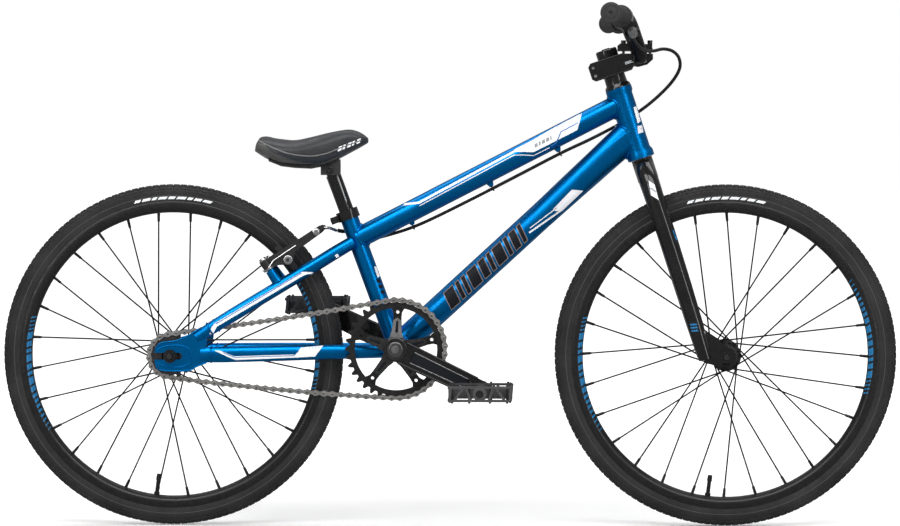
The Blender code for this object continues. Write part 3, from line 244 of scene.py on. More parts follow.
def moulded(name, colour, roughness, scale=500, depth=0.0005, wear=1.25, shine=0.5):
    """Rubber or plastic straight from a textured mould, a little lighter where it is rubbed."""
    material, shader = plain(name, colour, 0.0, roughness)
    vary_colour(material, shader, noise(material, 24, 5.0), colour,
                tuple(min(1.0, c * wear) for c in colour))
    vary_roughness(material, shader, noise(material, 90), roughness * 0.85, roughness * 1.1)
    bump(material, shader, noise(material, scale, 2.0), 0.35, depth)
    set_inputs(shader, Specular_IOR_Level=shine)
    return material


def tyre_rubber():
    """Rubber with dusty sides, and a finer grain than the blocks that the mesh carries."""
    material, shader = plain("tyre_black", (0.03, 0.03, 0.031), 0.0, 0.72)
    vary_colour(material, shader, noise(material, 16, 6.0), (0.016, 0.016, 0.017),
                (0.027, 0.027, 0.028))
    vary_roughness(material, shader, noise(material, 130), 0.62, 0.80)
    bump(material, shader, noise(material, 900, 2.0), 0.4, 0.0005)
    set_inputs(shader, Specular_IOR_Level=0.3)
    return material


def seat_cover(name, colour, wear):
    """Thin synthetic leather: pebbled, with soft creases."""
    material, shader = plain(name, colour, 0.0, 0.5)
    vary_colour(material, shader, noise(material, 30, 6.0), colour,
                tuple(c * wear for c in colour))
    vary_roughness(material, shader, noise(material, 70), 0.36, 0.50)
    bump(material, shader, cells(material, 900.0), 0.25, 0.0004)
    set_inputs(shader, Sheen_Weight=0.08, Sheen_Roughness=0.4)
    return material


def printed(name, colour, roughness=0.35, coat=0.6, shine=0.5):
    """Decal film: nearly even, with a faint print grain."""
    material, shader = plain(name, colour, 0.0, roughness, coat=coat)
    vary_colour(material, shader, noise(material, 140), tuple(c * 0.93 for c in colour), colour)
    bump(material, shader, noise(material, 420, 1.0), 0.05, 0.0002)
    set_inputs(shader, Specular_IOR_Level=shine)
    return material


BLUE = metallic_paint("blue_flake_paint", (0.0, 0.10, 0.36), (0.0, 0.235, 0.62))
BLACK = gloss_black("black_lacquer", 0.005, coat=0.7)
BAR_BLACK = gloss_black("bar_lacquer", 0.004, 0.22, 0.04, shine=0.1)
CAP_BLACK = gloss_black("cap_black", 0.03, 0.10)
SATIN = metal("black_anodised", 0.025, 0.40, metallic=0.6)
RIM_BLACK = metal("rim_black", 0.020, 0.30, (1, 8, 1), metallic=0.5)
ARM_GREY = metal("brake_arm_alloy", 0.045, 0.36, (4, 1, 4), metallic=0.7)
LEVER_GREY = metal("lever_alloy", 0.22, 0.32, (1, 6, 1), metallic=0.8)
BRIGHT = metal("bright_steel", 0.62, 0.24, (1, 9, 1))
SATIN_SILVER = metal("satin_silver", 0.32, 0.34, (1, 5, 1))
DARK_STEEL = metal("dark_steel", 0.10, 0.32, (1, 6, 1))
LINK = metal("chain_steel", 0.48, 0.38, (3, 1, 3), 0.03)
PIN = metal("chain_pin", 0.20, 0.30)
SPOKE = metal("spoke_steel", 0.02, 0.35, metallic=0.7)
NIPPLE = metal("nipple_black", 0.015, 0.4, metallic=0.5)
TYRE = tyre_rubber()
WALL_LINE = moulded("tyre_wall_line", (0.055, 0.055, 0.057), 0.7)
GRIP = moulded("grip_rubber", (0.018, 0.018, 0.019), 0.7, 700, 0.0006)
PAD = moulded("pad_rubber", (0.015, 0.015, 0.016), 0.75)
HOUSING = moulded("cable_housing", (0.006, 0.006, 0.007), 0.42, 260, 0.0002, shine=0.35)
PEDAL = moulded("pedal_plastic", (0.045, 0.045, 0.047), 0.5, 320, 0.0005)
HARD = moulded("saddle_plastic", (0.018, 0.018, 0.018), 0.5, 300, 0.0004)
COVER_TOP = seat_cover("saddle_top", (0.016, 0.017, 0.020), 1.25)
COVER_SIDE = seat_cover("saddle_side", (0.015, 0.018, 0.024), 1.2)
COVER_TAIL = seat_cover("saddle_tail", (0.050, 0.050, 0.049), 1.25)
PIPING = seat_cover("saddle_piping", (0.16, 0.16, 0.16), 1.1)
WHITE = printed("white_print", (0.86, 0.88, 0.90))
PALE = printed("pale_grey_print", (0.72, 0.73, 0.76))
CYAN = printed("cyan_print", (0.0, 0.15, 0.36), 0.5, coat=0.1)
INK = printed("black_print", (0.006, 0.008, 0.012), 0.5, coat=0.0, shine=0.2)
COPPER = printed("copper_print", (0.22, 0.17, 0.15), 0.4)
BLUE_LINE = printed("blue_print", (0.01, 0.13, 0.42))
SOFT_GREY = printed("grey_print", (0.30, 0.31, 0.32))

SLOT_LOOKS = {
    "cobalt_paint": BLUE, "gloss_black_paint": BLACK, "black_alloy": SATIN,
    "brake_alloy": ARM_GREY, "lever_alloy": LEVER_GREY, "bright_steel": BRIGHT,
    "chain_steel": LINK, "tyre_rubber": TYRE, "grip_rubber": GRIP, "pad_rubber": PAD,
    "cable_housing": HOUSING, "pedal_plastic": PEDAL, "saddle_cover": COVER_TOP,
    "saddle_base": HARD,
}


# ---- mesh tools


def mm(*points):
    """Points whose coordinates are given in millimetres, in metres."""
    return [tuple(c / 1000 for c in point) for point in points]


def circle(count):
    """The cosine and sine of so many even steps round a circle."""
    return [(math.cos(math.tau * k / count), math.sin(math.tau * k / count))
            for k in range(count)]


def upright(along):
    """A direction in the XZ plane turned by a quarter, so that forward becomes up."""
    return Vector((-along.z, 0, along.x))


class Shape:
    """Vertices and faces that grow into one mesh; look is the material index of new faces."""

    def __init__(self):
        self.vertices = []
        self.faces = []
        self.looks = []
        self.look = 0

    def add(self, vertices, faces):
        base = len(self.vertices)
        self.vertices += [Vector(v) for v in vertices]
        self.faces += [[base + i for i in face] for face in faces]
        self.looks += [self.look] * len(faces)

    def skin(self, rings, closed_round=True, closed_along=False, capped=False):
        """Faces between successive rings of points of the same length."""
        size = len(rings[0])
        count = len(rings)
        faces = []
        for i in range(count if closed_along else count - 1):
            for k in range(size if closed_round else size - 1):
                a, b = i * size, (i + 1) % count * size
                n = (k + 1) % size
                faces.append([a + k, a + n, b + n, b + k])
        if capped:
            faces.append(list(range(size))[::-1])
            faces.append([(count - 1) * size + k for k in range(size)])
        self.add([p for one in rings for p in one], faces)

    def tube(self, path, radius, sides=12, closed=False):
        """A round bar along a path; radius may be a list with one value for each point."""
        count = len(path)
        side = None
        rings = []
        for i, point in enumerate(path):
            before = path[i - 1] if i or closed else point
            after = path[(i + 1) % count] if i < count - 1 or closed else point
            along = (after - before).normalized()
            if side is None:
                side = along.orthogonal()
            side = (side - along * side.dot(along)).normalized()
            other = along.cross(side)
            r = radius[i] if isinstance(radius, (list, tuple)) else radius
            rings.append([point + side * (c * r) + other * (s * r) for c, s in circle(sides)])
        self.skin(rings, closed_along=closed, capped=not closed)

    def turned(self, centre, axis, profile, segments=32, closed=False):
        """A profile of (along, radius) turned about an axis; closed joins its end to its start."""
        axis = Vector(axis).normalized()
        first = axis.orthogonal().normalized()
        second = axis.cross(first)
        rings = [[centre + axis * t + (first * c + second * s) * r for t, r in profile]
                 for c, s in circle(segments)]
        self.skin(rings, closed_round=closed, closed_along=True)

    def beam(self, start, end, up, wide, tall):
        """A bar of rectangular section between two points; up points along its tall side."""
        along = (end - start).normalized()
        up = (up - along * up.dot(along)).normalized()
        side = along.cross(up)
        rings = []
        for end_point in (start, end):
            rings.append([end_point + side * (x * wide / 2) + up * (z * tall / 2)
                          for x, z in ((-1, -1), (1, -1), (1, 1), (-1, 1))])
        self.skin(rings, capped=True)

    def slab(self, outline, low, high, origin, right, up):
        """An outline in the plane of right and up, made thick along their normal."""
        normal = right.cross(up).normalized()
        self.skin([[origin + right * x + up * y + normal * level for x, y in outline]
                   for level in (low, high)], capped=True)

    def piece(self, name, looks, body, smooth=40, stands_for=()):
        """The finished object, riding on its body."""
        mesh = bpy.data.meshes.new(name)
        mesh.from_pydata([tuple(v) for v in self.vertices], [], self.faces)
        obj = placed(name, mesh, body)
        for look in looks:
            mesh.materials.append(look)
        for polygon, look in zip(mesh.polygons, self.looks):
            polygon.material_index = look
        tidy = bmesh.new()
        tidy.from_mesh(mesh)
        bmesh.ops.recalc_face_normals(tidy, faces=tidy.faces)
        tidy.to_mesh(mesh)
        tidy.free()
        mesh.shade_smooth()
        mesh.set_sharp_from_angle(angle=math.radians(smooth))
        if stands_for:
            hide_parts(*stands_for)
        return obj


def placed(name, mesh, body):
    """A new object in the scene that shows the mesh and rides on a body, if one is given."""
    obj = bpy.data.objects.new(name, mesh)
    bpy.context.scene.collection.objects.link(obj)
    if body:
        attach(obj, body)
    return obj


def smooth_path(points, steps):
    """Points on a smooth curve through the given ones."""
    points = [Vector(p) for p in points]
    padded = [points[0] * 2 - points[1], *points, points[-1] * 2 - points[-2]]
    path = []
    for a, b, c, d in zip(padded, padded[1:], padded[2:], padded[3:]):
        for step in range(steps):
            t = step / steps
            path.append(((b * 2) + (c - a) * t + (a * 2 - b * 5 + c * 4 - d) * t**2
                         + (b * 3 - a - c * 3 + d) * t**3) / 2)
    path.append(points[-1])
    return path


def mirrored(point, side):
    """The point, moved to the right (-1) or left (1) side of the bike."""
    return Vector((point[0], side * abs(point[1]), point[2]))


def polar(hub, degrees, radius, y=0.0):
    """A point at an angle and a distance from a wheel or sprocket centre."""
    a = math.radians(degrees)
    return hub + Vector((radius * math.cos(a), y, radius * math.sin(a)))


def surface_of(mesh):
    """A tree that finds points on the surface of a mesh."""
    return BVHTree.FromPolygons([v.co for v in mesh.vertices],
                                [list(p.vertices) for p in mesh.polygons])


def bead_ring(shape, centre, first, second, wide, tall, bead, count=28):
    """A rippled bead about a bar; wide runs along the first axis and tall along the second."""
    path = [centre + first * (wide * c) + second * (tall * s) for c, s in circle(count)]
    shape.tube(path, [bead * (1.0 + 0.2 * (k % 2)) for k in range(count)], 8, closed=True)


def print_on(name, node, outline, side, look, body, lift=DECAL_LIFT, step=0.004):
    """A decal: an outline of (x, z) points laid on a CAD node from one side, as a thin skin."""
    tree = surface_of(frame["nodes"][node].data)
    flat = bmesh.new()
    flat.faces.new([flat.verts.new((x, 0, z)) for x, z in outline])
    bmesh.ops.triangulate(flat, faces=flat.faces[:])
    for _ in range(5):
        long_edges = [e for e in flat.edges if e.calc_length() > step]
        if not long_edges:
            break
        bmesh.ops.subdivide_edges(flat, edges=long_edges, cuts=1)
        bmesh.ops.triangulate(flat, faces=flat.faces[:])
    missed = []
    for vertex in flat.verts:
        start = Vector((vertex.co.x, side * 0.5, vertex.co.z))
        spot, normal, _, _ = tree.ray_cast(start, Vector((0, -side, 0)))
        if spot is None:
            missed.append(vertex)
            continue
        vertex.co = spot + normal * (lift if normal.y * side > 0 else -lift)
    bmesh.ops.delete(flat, geom=missed, context="VERTS")
    mesh = bpy.data.meshes.new(name)
    flat.to_mesh(mesh)
    flat.free()
    mesh.materials.append(look)
    mesh.shade_smooth()
    return placed(name, mesh, body)


def stripe(points, width):
    """The outline of a line of even width through some (x, z) points."""
    spots = [Vector(p) for p in points]
    left = []
    right = []
    for i, spot in enumerate(spots):
        along = (spots[min(i + 1, len(spots) - 1)] - spots[max(i - 1, 0)]).normalized()
        across = Vector((-along.y, along.x)) * (width / 2)
        left.append(tuple(spot + across))
        right.append(tuple(spot - across))
    return left + right[::-1]


# ---- CAD nodes that stay in view


def soften(obj, degrees):
    """Shading that runs smoothly over shallow edges; the vertices stay where they are."""
    mesh = obj.data
    limit = math.cos(math.radians(degrees))
    around = {}
    for polygon in mesh.polygons:
        for index in polygon.vertices:
            key = tuple(round(c * 1e5) for c in mesh.vertices[index].co)
            around.setdefault(key, []).append((polygon.normal.copy(), polygon.area))
    normals = []
    for polygon in mesh.polygons:
        for index in polygon.vertices:
            key = tuple(round(c * 1e5) for c in mesh.vertices[index].co)
            total = Vector()
            for normal, area in around[key]:
                if normal.dot(polygon.normal) > limit:
                    total += normal * area
            normals.append(total.normalized())
    mesh.shade_smooth()
    mesh.normals_split_custom_set(normals)


SLOT_OF = {part["node"]: part["material_slot"] for part in frame["record"]["subparts"]}
NODE_LOOKS = {
    "right_rear_axle_nut": SATIN, "left_rear_axle_nut": SATIN,
    "right_front_axle_nut": SATIN, "left_front_axle_nut": SATIN,
    "rear_cog": DARK_STEEL, "rear_axle": DARK_STEEL, "front_axle": DARK_STEEL,
    "seat_clamp_bolt": SATIN, "crank_spindle": SATIN, "stem": BLACK, "stem_faceplate": BLACK,
    "headset_cover": BLACK, "top_cap": BLACK, "seat_clamp": BLACK, "brake_lever_perch": BLACK,
    "saddle_base": HARD, "right_pedal_spindle": DARK_STEEL, "left_pedal_spindle": DARK_STEEL,
}
for node, slot in SLOT_OF.items():
    shown = frame["nodes"][node]
    shown.data.materials.clear()
    shown.data.materials.append(NODE_LOOKS.get(node, SLOT_LOOKS[slot]))
    soften(shown, 42)


# ---- wheels

TYRE_CENTRE = 0.2400
TYRE_HALF_WIDTH = 0.0141
TYRE_CROWN = 0.0128
TYRE_WALL = mm((8.8, 222.6), (9.7, 225.6), (11.7, 230), (13.4, 235))
RIM_HALF = mm((4, 211.5), (6.6, 212.4), (9.8, 215.2), (11.7, 218.4), (12, 220.4), (12, 227),
              (11.3, 228.3), (10.1, 227.6), (9.8, 221.5), (4, 220))


def tyre_skin(degrees, lift=0.0):
    """(y, radius) on the tyre's crown: 0 degrees is the tread's middle, 90 its widest point."""
    a = math.radians(degrees)
    return ((TYRE_HALF_WIDTH + lift) * math.sin(a),
            TYRE_CENTRE + (TYRE_CROWN + lift) * math.cos(a))


def tyre(end, hub):
    """The round casing, five kinds of tread rows and a fine line round each side."""
    shape = Shape()
    half = TYRE_WALL + [tyre_skin(a) for a in range(90, 0, -10)]
    profile = half + [tyre_skin(0)] + [(-y, r) for y, r in reversed(half)]
    shape.turned(hub, Y, profile, 160)
    for row, (degrees, wide, count, height) in enumerate((
            (0, 13, 150, 0.0010), (30, 11, 150, 0.0011), (55, 9, 150, 0.0011),
            (76, 6, 225, 0.0007), (89, 5, 225, 0.0005))):
        for mirror in ((1,) if degrees == 0 else (1, -1)):
            tread_row(shape, hub, degrees * mirror, wide, count, height, row % 2)
    shape.look = 1
    for mirror in (1, -1):
        shape.turned(hub, Y, [(mirror * (0.0141 + d), r) for d, r in
                              ((-0.0003, 0.2364), (0.0001, 0.2367), (0.0001, 0.2371),
                               (-0.0003, 0.2374))], 120)
    shape.piece(end + "_tyre_tread", [TYRE, WALL_LINE], end + "_wheel", 35,
                [end + "_tyre"])


def tread_row(shape, hub, degrees, wide, count, height, shift):
    """A ring of small raised blocks."""
    for index in range(count):
        middle = 360 * (index + shift / 2) / count
        reach = 130 / count
        bottom = []
        top = []
        for across, along in ((-1, -1), (1, -1), (1, 1), (-1, 1)):
            lean = 0.25 * reach * across
            for ring, lift, shrink in ((bottom, -0.0004, 1.15), (top, height, 0.85)):
                y, r = tyre_skin(degrees + across * wide / 2 * shrink, lift)
                ring.append(polar(hub, middle + lean + along * reach * shrink, r, y))
        shape.add(bottom + top, [[4, 5, 6, 7], [0, 1, 5, 4], [1, 2, 6, 5], [2, 3, 7, 6],
                                 [3, 0, 4, 7]])


def arc_mark(shape, hub, side, start, end, low, high, wall, slant=0.0):
    """A short printed bar that follows a wheel's side from one angle to another."""
    steps = max(1, round(abs(end - start) / 2))
    rings = []
    for i in range(steps + 1):
        row = []
        for share in (0.0, 0.34, 0.67, 1.0):
            radius = low + (high - low) * share
            angle = start + (end - start) * i / steps + slant * (share - 0.5)
            row.append(polar(hub, angle, radius, side * wall(radius)))
        rings.append(row)
    shape.skin(rings, closed_round=False)


def wall_of(profile, lift):
    """The half width at a radius, read off a profile that widens or narrows steadily."""
    def at(radius):
        for (y0, r0), (y1, r1) in zip(profile, profile[1:]):
            if min(r0, r1) <= radius <= max(r0, r1) and r0 != r1:
                return y0 + (y1 - y0) * (radius - r0) / (r1 - r0) + lift
        return profile[0][0] + lift
    return at


def tyre_print(end, hub, start, finish):
    """Slanted white dashes along the sidewall near the top."""
    shape = Shape()
    side_skin = TYRE_WALL + [tyre_skin(a) for a in range(90, 0, -10)]
    wall = wall_of(side_skin, 0.0002)
    widths = (2.2, 3.0, 1.6, 3.0, 2.4, 3.2, 1.8, 2.6, 3.0)
    for side in (-1, 1):
        angle = start
        for width in widths:
            if angle - width < finish:
                break
            arc_mark(shape, hub, side, angle, angle - width, 0.2318, 0.2356, wall, -0.8)
            angle -= width + 0.7
    shape.piece(end + "_tyre_print", [WHITE], end + "_wheel")


def rim(end, hub):
    """The box-section hoop and the valve that points at the hub."""
    shape = Shape()
    shape.turned(hub, Y, RIM_HALF + [(-y, r) for y, r in reversed(RIM_HALF)], 144, closed=True)
    shape.look = 1
    valve = polar(hub, 263, 0.2113)
    inward = (hub - valve).normalized()
    shape.tube([valve - inward * 0.002, valve + inward * 0.004], 0.0042, 12)
    shape.tube([valve + inward * 0.003, valve + inward * 0.022], 0.0030, 12)
    shape.tube([valve + inward * 0.022, valve + inward * 0.031], [0.0038, 0.0033], 12)
    shape.piece(end + "_rim_hoop", [RIM_BLACK, HOUSING], end + "_wheel", 32,
                [end + "_rim"])


def rim_print(end, hub):
    """Cyan ticks and blocks on the rim's sloping sides, repeated round the wheel."""
    shape = Shape()
    wall = wall_of(RIM_HALF, 0.0002)
    for side in (-1, 1):
        for turn in (0, 180):
            angle = turn + 31
            for tick in range(7):
                width = 0.35 + 0.16 * tick
                arc_mark(shape, hub, side, angle, angle - width, 0.2128, 0.2182, wall, 0.6)
                angle -= width + 1.5 - 0.12 * tick
            for tick in range(9):
                width = 1.4 + 0.7 * (tick % 3)
                arc_mark(shape, hub, side, angle, angle - width, 0.2124, 0.2190, wall, 0.7)
                angle -= width + 0.9
            for tick in range(4):
                arc_mark(shape, hub, side, angle, angle - 0.6, 0.2124, 0.2186, wall, 0.7)
                angle -= 1.6
    shape.piece(end + "_rim_print", [CYAN], end + "_wheel")


def lacing(end, hub, flange_y, first_nipple):
    """Crossed spokes with elbows at the hub and nipples at the rim."""
    shape = Shape()
    for index in range(SPOKE_COUNT):
        nipple = first_nipple - 360 * index / SPOKE_COUNT
        leading = 1 if (index + 1) // 2 % 2 == 0 else -1
        side = 1 if index % 2 else -1
        hole_angle = nipple + leading * SPOKE_LAY
        hole = polar(hub, hole_angle, 0.0203, side * flange_y)
        face = Y * (side * leading * 0.0030)
        rim_end = polar(hub, nipple, 0.2118, side * 0.0020)
        start = hole + face
        along = (rim_end - start).normalized()
        shape.look = 0
        shape.tube([hole - face * 0.9, start - face * 0.25, start + along * 0.0012,
                    rim_end - along * 0.012], 0.00120, 8)
        shape.tube([hole - face * 1.35, hole - face * 0.75], [0.0014, 0.0021], 8)
        shape.look = 1
        shape.tube([rim_end - along * 0.0135, rim_end - along * 0.012, rim_end + along * 0.001],
                   [0.0012, 0.0020, 0.0023], 8)
    shape.piece(end + "_lacing", [SPOKE, NIPPLE], end + "_wheel", 50,
                [end + "_spokes"])


def hub_shell(end, hub, flange_y, end_y, barrel):
    """A waisted barrel between two flanges, with bright rings at its ends."""
    shape = Shape()
    half = [(end_y, 0.0054), (end_y, 0.0096), (end_y - 0.0008, 0.0102),
            (flange_y + 0.0070, 0.0118), (flange_y + 0.0030, 0.0135), (flange_y + 0.0020, 0.0160),
            (flange_y + 0.0015, 0.0222), (flange_y + 0.0007, 0.0228), (flange_y - 0.0007, 0.0228),
            (flange_y - 0.0015, 0.0222), (flange_y - 0.0020, 0.0165), (flange_y - 0.0045, barrel),
            (flange_y * 0.45, barrel - 0.0012)]
    profile = half + [(-y, r) for y, r in reversed(half)]
    shape.turned(hub, Y, profile, 48)
    shape.look = 1
    for side in (-1, 1):
        shape.turned(hub, Y * side, [(end_y - 0.001, 0.0098), (end_y + 0.0004, 0.0092),
                                     (end_y + 0.0004, 0.0056)], 32)
    shape.piece(end + "_hub", [SATIN, BRIGHT], end + "_wheel", 30,
                [end + "_hub_shell"])


for end, hub, flange_y, end_y, barrel, first_nipple in (
        ("front", FRONT_HUB, 0.028, 0.043, 0.0135, 102.4),
        ("rear", REAR_HUB, 0.023, 0.0375, 0.0165, 95.9)):
    tyre(end, hub)
    tyre_print(end, hub, 104, 74)
    rim(end, hub)
    rim_print(end, hub)
    lacing(end, hub, flange_y, first_nipple)
    hub_shell(end, hub, flange_y, end_y, barrel)


# ---- chain and cranks


CHAIN_SAG = 0.0030
PLATE_END = 0.0044
PLATE_WAIST = 0.0022


def slack_run(first, last):
    """Points between two others on a chain that hangs a little."""
    return [first.lerp(last, t) - Z * (4 * CHAIN_SAG * t * (1 - t))
            for t in (i / 40 for i in range(1, 40))]


def chain_path():
    """Closely spaced points round both sprockets, with both straight runs a little slack."""
    big = CHAIN_PITCH / (2 * math.sin(math.pi / RING_TEETH))
    small = CHAIN_PITCH / (2 * math.sin(math.pi / COG_TEETH))
    line = CRANK - REAR_HUB
    tilt = math.degrees(math.atan2(line.z, line.x))
    lean = 90 - math.degrees(math.acos((big - small) / line.length))
    points = [polar(CRANK, tilt - 90 - lean + (180 + 2 * lean) * i / 60, big) for i in range(61)]
    around = [polar(REAR_HUB, tilt + 90 + lean + (180 - 2 * lean) * i / 40, small)
              for i in range(41)]
    path = (points + slack_run(points[-1], around[0]) + around
            + slack_run(around[-1], points[0]))
    return [p + Y * CHAIN_Y for p in path]


def even_steps(path, count):
    """So many points at equal distances along a closed path."""
    lengths = [(path[(i + 1) % len(path)] - p).length for i, p in enumerate(path)]
    step = sum(lengths) / count
    found = []
    walked = 0.0
    for i, length in enumerate(lengths):
        while len(found) < count and len(found) * step <= walked + length:
            share = (len(found) * step - walked) / length
            found.append(path[i].lerp(path[(i + 1) % len(path)], share))
        walked += length
    return found


def plate_end(x, start):
    """The round end of a chain plate, as half a circle about (x, 0) from the start angle."""
    return [(x + PLATE_END * math.cos(a), PLATE_END * math.sin(a))
            for a in (math.radians(start + 30 * k) for k in range(7))]


def chain():
    """Inner and outer plates in turn, with a riveted pin and a roller at each joint."""
    path = chain_path()
    total = sum((path[(i + 1) % len(path)] - p).length for i, p in enumerate(path))
    count = 2 * round(total / CHAIN_PITCH / 2)
    pins = even_steps(path, count)
    shape = Shape()
    for index, pin in enumerate(pins):
        ahead = pins[(index + 1) % count]
        along = (ahead - pin).normalized()
        up = upright(along)
        length = (ahead - pin).length
        outline = [*plate_end(0, 90), (length / 2, -PLATE_WAIST),
                   *plate_end(length, -90), (length / 2, PLATE_WAIST)]
        low, high = (0.0033, 0.0042) if index % 2 else (0.0022, 0.0031)
        shape.look = 0
        for side in (-1, 1):
            levels = sorted((side * low, side * high))
            shape.slab(outline, *levels, pin, along, up)
        shape.look = 1
        shape.tube([pin - Y * 0.0047, pin - Y * 0.0044, pin + Y * 0.0044, pin + Y * 0.0047],
                   [0.0014, 0.0019, 0.0019, 0.0014], 10)
        shape.tube([pin - Y * 0.0021, pin + Y * 0.0021], 0.0038, 12)
    shape.piece("chain_links", [LINK, PIN], "frame", 40, ["chain"])


def crank_trim():
    """Domed bolt caps with their rims, and the chainring bolts."""
    shape = Shape()
    for side, _ in SIDES:
        out = Y * side
        shape.look = 0
        shape.turned(CRANK, out, mm((65.2, 16.8), (66, 16), (66, 14), (65, 12.6)), 48)
        shape.look = 1
        shape.turned(CRANK, out, mm((64, 12.2), (65.5, 12.1), (66.6, 11), (67.2, 8.5),
                                    (67.4, 6.2)), 40)
        shape.look = 2
        shape.turned(CRANK, out, mm((67.4, 6.2), (68.1, 5.6), (68.4, 3.6), (68.5, 0)), 32)
    for index in range(5):
        spot = polar(CRANK, 87 + 72 * index, 0.055)
        shape.look = 0
        shape.turned(spot, -Y, mm((48, 2.6), (50, 3), (50, 4.8), (49.2, 5.4), (48.4, 5.4)), 20)
        shape.turned(spot, -Y, mm((41.8, 5.4), (40, 5), (40, 2.7), (42, 2.4), (49, 2.4)), 20)
    shape.piece("crank_caps", [SATIN, CAP_BLACK, SATIN_SILVER], "crankset", 35)


def pedal_eye(side):
    """The centre of a pedal's thread."""
    drop = math.radians(25.1)
    reach = -side * ARM_LENGTH
    return CRANK + Vector((reach * math.cos(drop), 0, -reach * math.sin(drop)))


def crank_edges_and_painted_light():
    """Rounded edges along both arms, with a black sheet of painted shade in each channel between
    silver lines of painted highlight, and a rib on each spider arm, the top one bright as a
    painted reflection, each with a black slot of painted shade.
    """
    shape = Shape()
    for side, _ in SIDES:
        along = (pedal_eye(side) - CRANK).normalized()
        up = upright(along)
        for edge in (-1, 1):
            path = []
            for u, half in ((0.012, 0.0160), (0.040, 0.0156), (0.080, 0.0148), (0.128, 0.0138)):
                depth = CRANK_FACE + ARM_FLARE * u - 0.0008
                path.append(CRANK + along * u + up * (edge * half) + Y * side * depth)
            shape.look = 0
            shape.tube(path, 0.0019, 12)
        lips = {}
        for edge in (-1, 1):
            lips[edge] = []
            for u, half in ((0.028, 0.0084), (0.072, 0.0077), (0.116, 0.0069)):
                depth = CRANK_FACE + ARM_FLARE * u + 0.0001
                lips[edge].append(CRANK + along * u + up * (edge * half) + Y * side * depth)
            # Thin silver lines along the channel's edges: painted highlights.
            shape.look = 4
            shape.tube(lips[edge], 0.0008, 8)
        # A black sheet across the channel: painted shade in the groove.
        shape.look = 2
        shape.skin([[low, high] for low, high in zip(lips[-1], lips[1])], closed_round=False)
        shape.look = 0
        eye = pedal_eye(side)
        shape.turned(eye, Y * side, mm((73.5, 13.5), (75.2, 12.8), (75.6, 11), (75.6, 7.8)), 32)
    for index in range(5):
        angle = math.radians(87 + 72 * index)
        along = Vector((math.cos(angle), 0, math.sin(angle)))
        up = upright(along)
        # The top rib is bright steel as a painted reflection; the other ribs are dark steel.
        shape.look = 1 if index == 0 else 3
        outline = mm((17, -10), (27, -7.4), (43, -5.8), (47, 0), (43, 5.8), (27, 7.4), (17, 10))
        shape.slab(outline, 0.0486, 0.0498, CRANK, along, up)
        # A black slot on each rib: painted shade in its hollow.
        shape.look = 2
        slot = mm((26, -2.2), (41, -1.6), (43, 0), (41, 1.6), (26, 2.2), (24, 0))
        shape.slab(slot, 0.0497, 0.0500, CRANK, along, up)
    shape.piece("crank_edges_and_painted_light", [BLACK, BRIGHT, INK, DARK_STEEL, SATIN_SILVER], "crankset",
                40)


def pedal(side, name):
    """A moulded cage: end walls with windows, toothed bars, a barrel and traction pins."""
    eye = pedal_eye(side)
    out = Y * side
    shape = Shape()

    def at(x, depth, z):
        return eye + Vector((x, 0, z)) + out * depth

    def pin(x, depth):
        shape.tube([at(x, depth, z) for z in (-0.0138, -0.0128, 0.0128, 0.0138)],
                   [0.0012, 0.0018, 0.0018, 0.0012], 10)

    for depth in (0.0830, 0.1670):
        for z in (-0.0098, 0.0098):
            shape.beam(at(-0.0455, depth, z), at(0.0455, depth, z), Z, 0.0050, 0.0036)
        for x in (-0.0440, 0.0440):
            shape.beam(at(x, depth, -0.0112), at(x + 0.002, depth, 0.0112), X, 0.0052, 0.0042)
        for x in (-0.0300, 0.0300):
            lean = math.copysign(0.0060, x)
            shape.beam(at(x + lean, depth, -0.0090), at(x - lean, depth, 0.0090), X, 0.0046,
                       0.0034)
            shape.beam(at(x * 0.45 + lean, depth, 0.0090), at(x * 0.45, depth, -0.0090), X,
                       0.0046, 0.0034)
        shape.tube([at(0, depth - 0.0028, 0), at(0, depth + 0.0024, 0),
                    at(0, depth + 0.0030, 0)], [0.0100, 0.0100, 0.0088], 28)
    for x in (-0.0440, 0.0440):
        for z in (-0.0094, 0.0094):
            shape.beam(at(x, 0.0810, z), at(x, 0.1690, z), Z, 0.0050, 0.0040)
        for depth in (0.1010, 0.1250, 0.1490):
            shape.beam(at(x, depth, -0.0094), at(x, depth, 0.0094), X, 0.0060, 0.0040)
    shape.tube([at(0, 0.0810, 0), at(0, 0.1000, 0), at(0, 0.1250, 0), at(0, 0.1500, 0),
                at(0, 0.1690, 0)], [0.0098, 0.0086, 0.0082, 0.0086, 0.0096], 28)
    for depth in (0.1000, 0.1250, 0.1500):
        for x in (-1, 1):
            shape.beam(at(x * 0.0070, depth, 0), at(x * 0.0440, depth, 0), Z, 0.0050, 0.0130)
    shape.look = 1
    for x in (-0.0400, -0.0150, 0.0150, 0.0400):
        for depth in (0.0835, 0.1665):
            pin(x, depth)
    for x in (-0.0440, 0.0440):
        for depth in (0.1010, 0.1250, 0.1490):
            pin(x, depth)
    shape.tube([at(0, 0.1690, 0), at(0, 0.1703, 0)], [0.0062, 0.0056], 24)
    shape.piece(name + "_pedal_cage", [PEDAL, SATIN], name + "_pedal", 32,
                [name + "_pedal_body"])


chain()
crank_trim()
crank_edges_and_painted_light()
for side, name in SIDES:
    pedal(side, name)


# ---- bars, grips and lever

BAR_MARKS = mm((283.8, 0, 696.8), (283.8, -30, 696.8), (281.5, -46, 706), (269, -100, 740),
               (262.5, -124, 750.5), (259, -150, 751.5), (254, -185, 752), (239, -298.5, 754))


def bar_path(side, steps):
    marks = [mirrored(m, side) for m in BAR_MARKS]
    return [marks[0]] + smooth_path(marks[1:7], steps) + [marks[7]]


def handlebar():
    """The bent tube, from one end plug to the other."""
    shape = Shape()
    right = bar_path(-1, 6)
    left = bar_path(1, 6)
    shape.tube(right[::-1] + left[1:], BAR_RADIUS, 28)
    shape.piece("bar_tube", [BAR_BLACK], "steering", 40, ["handlebar"])


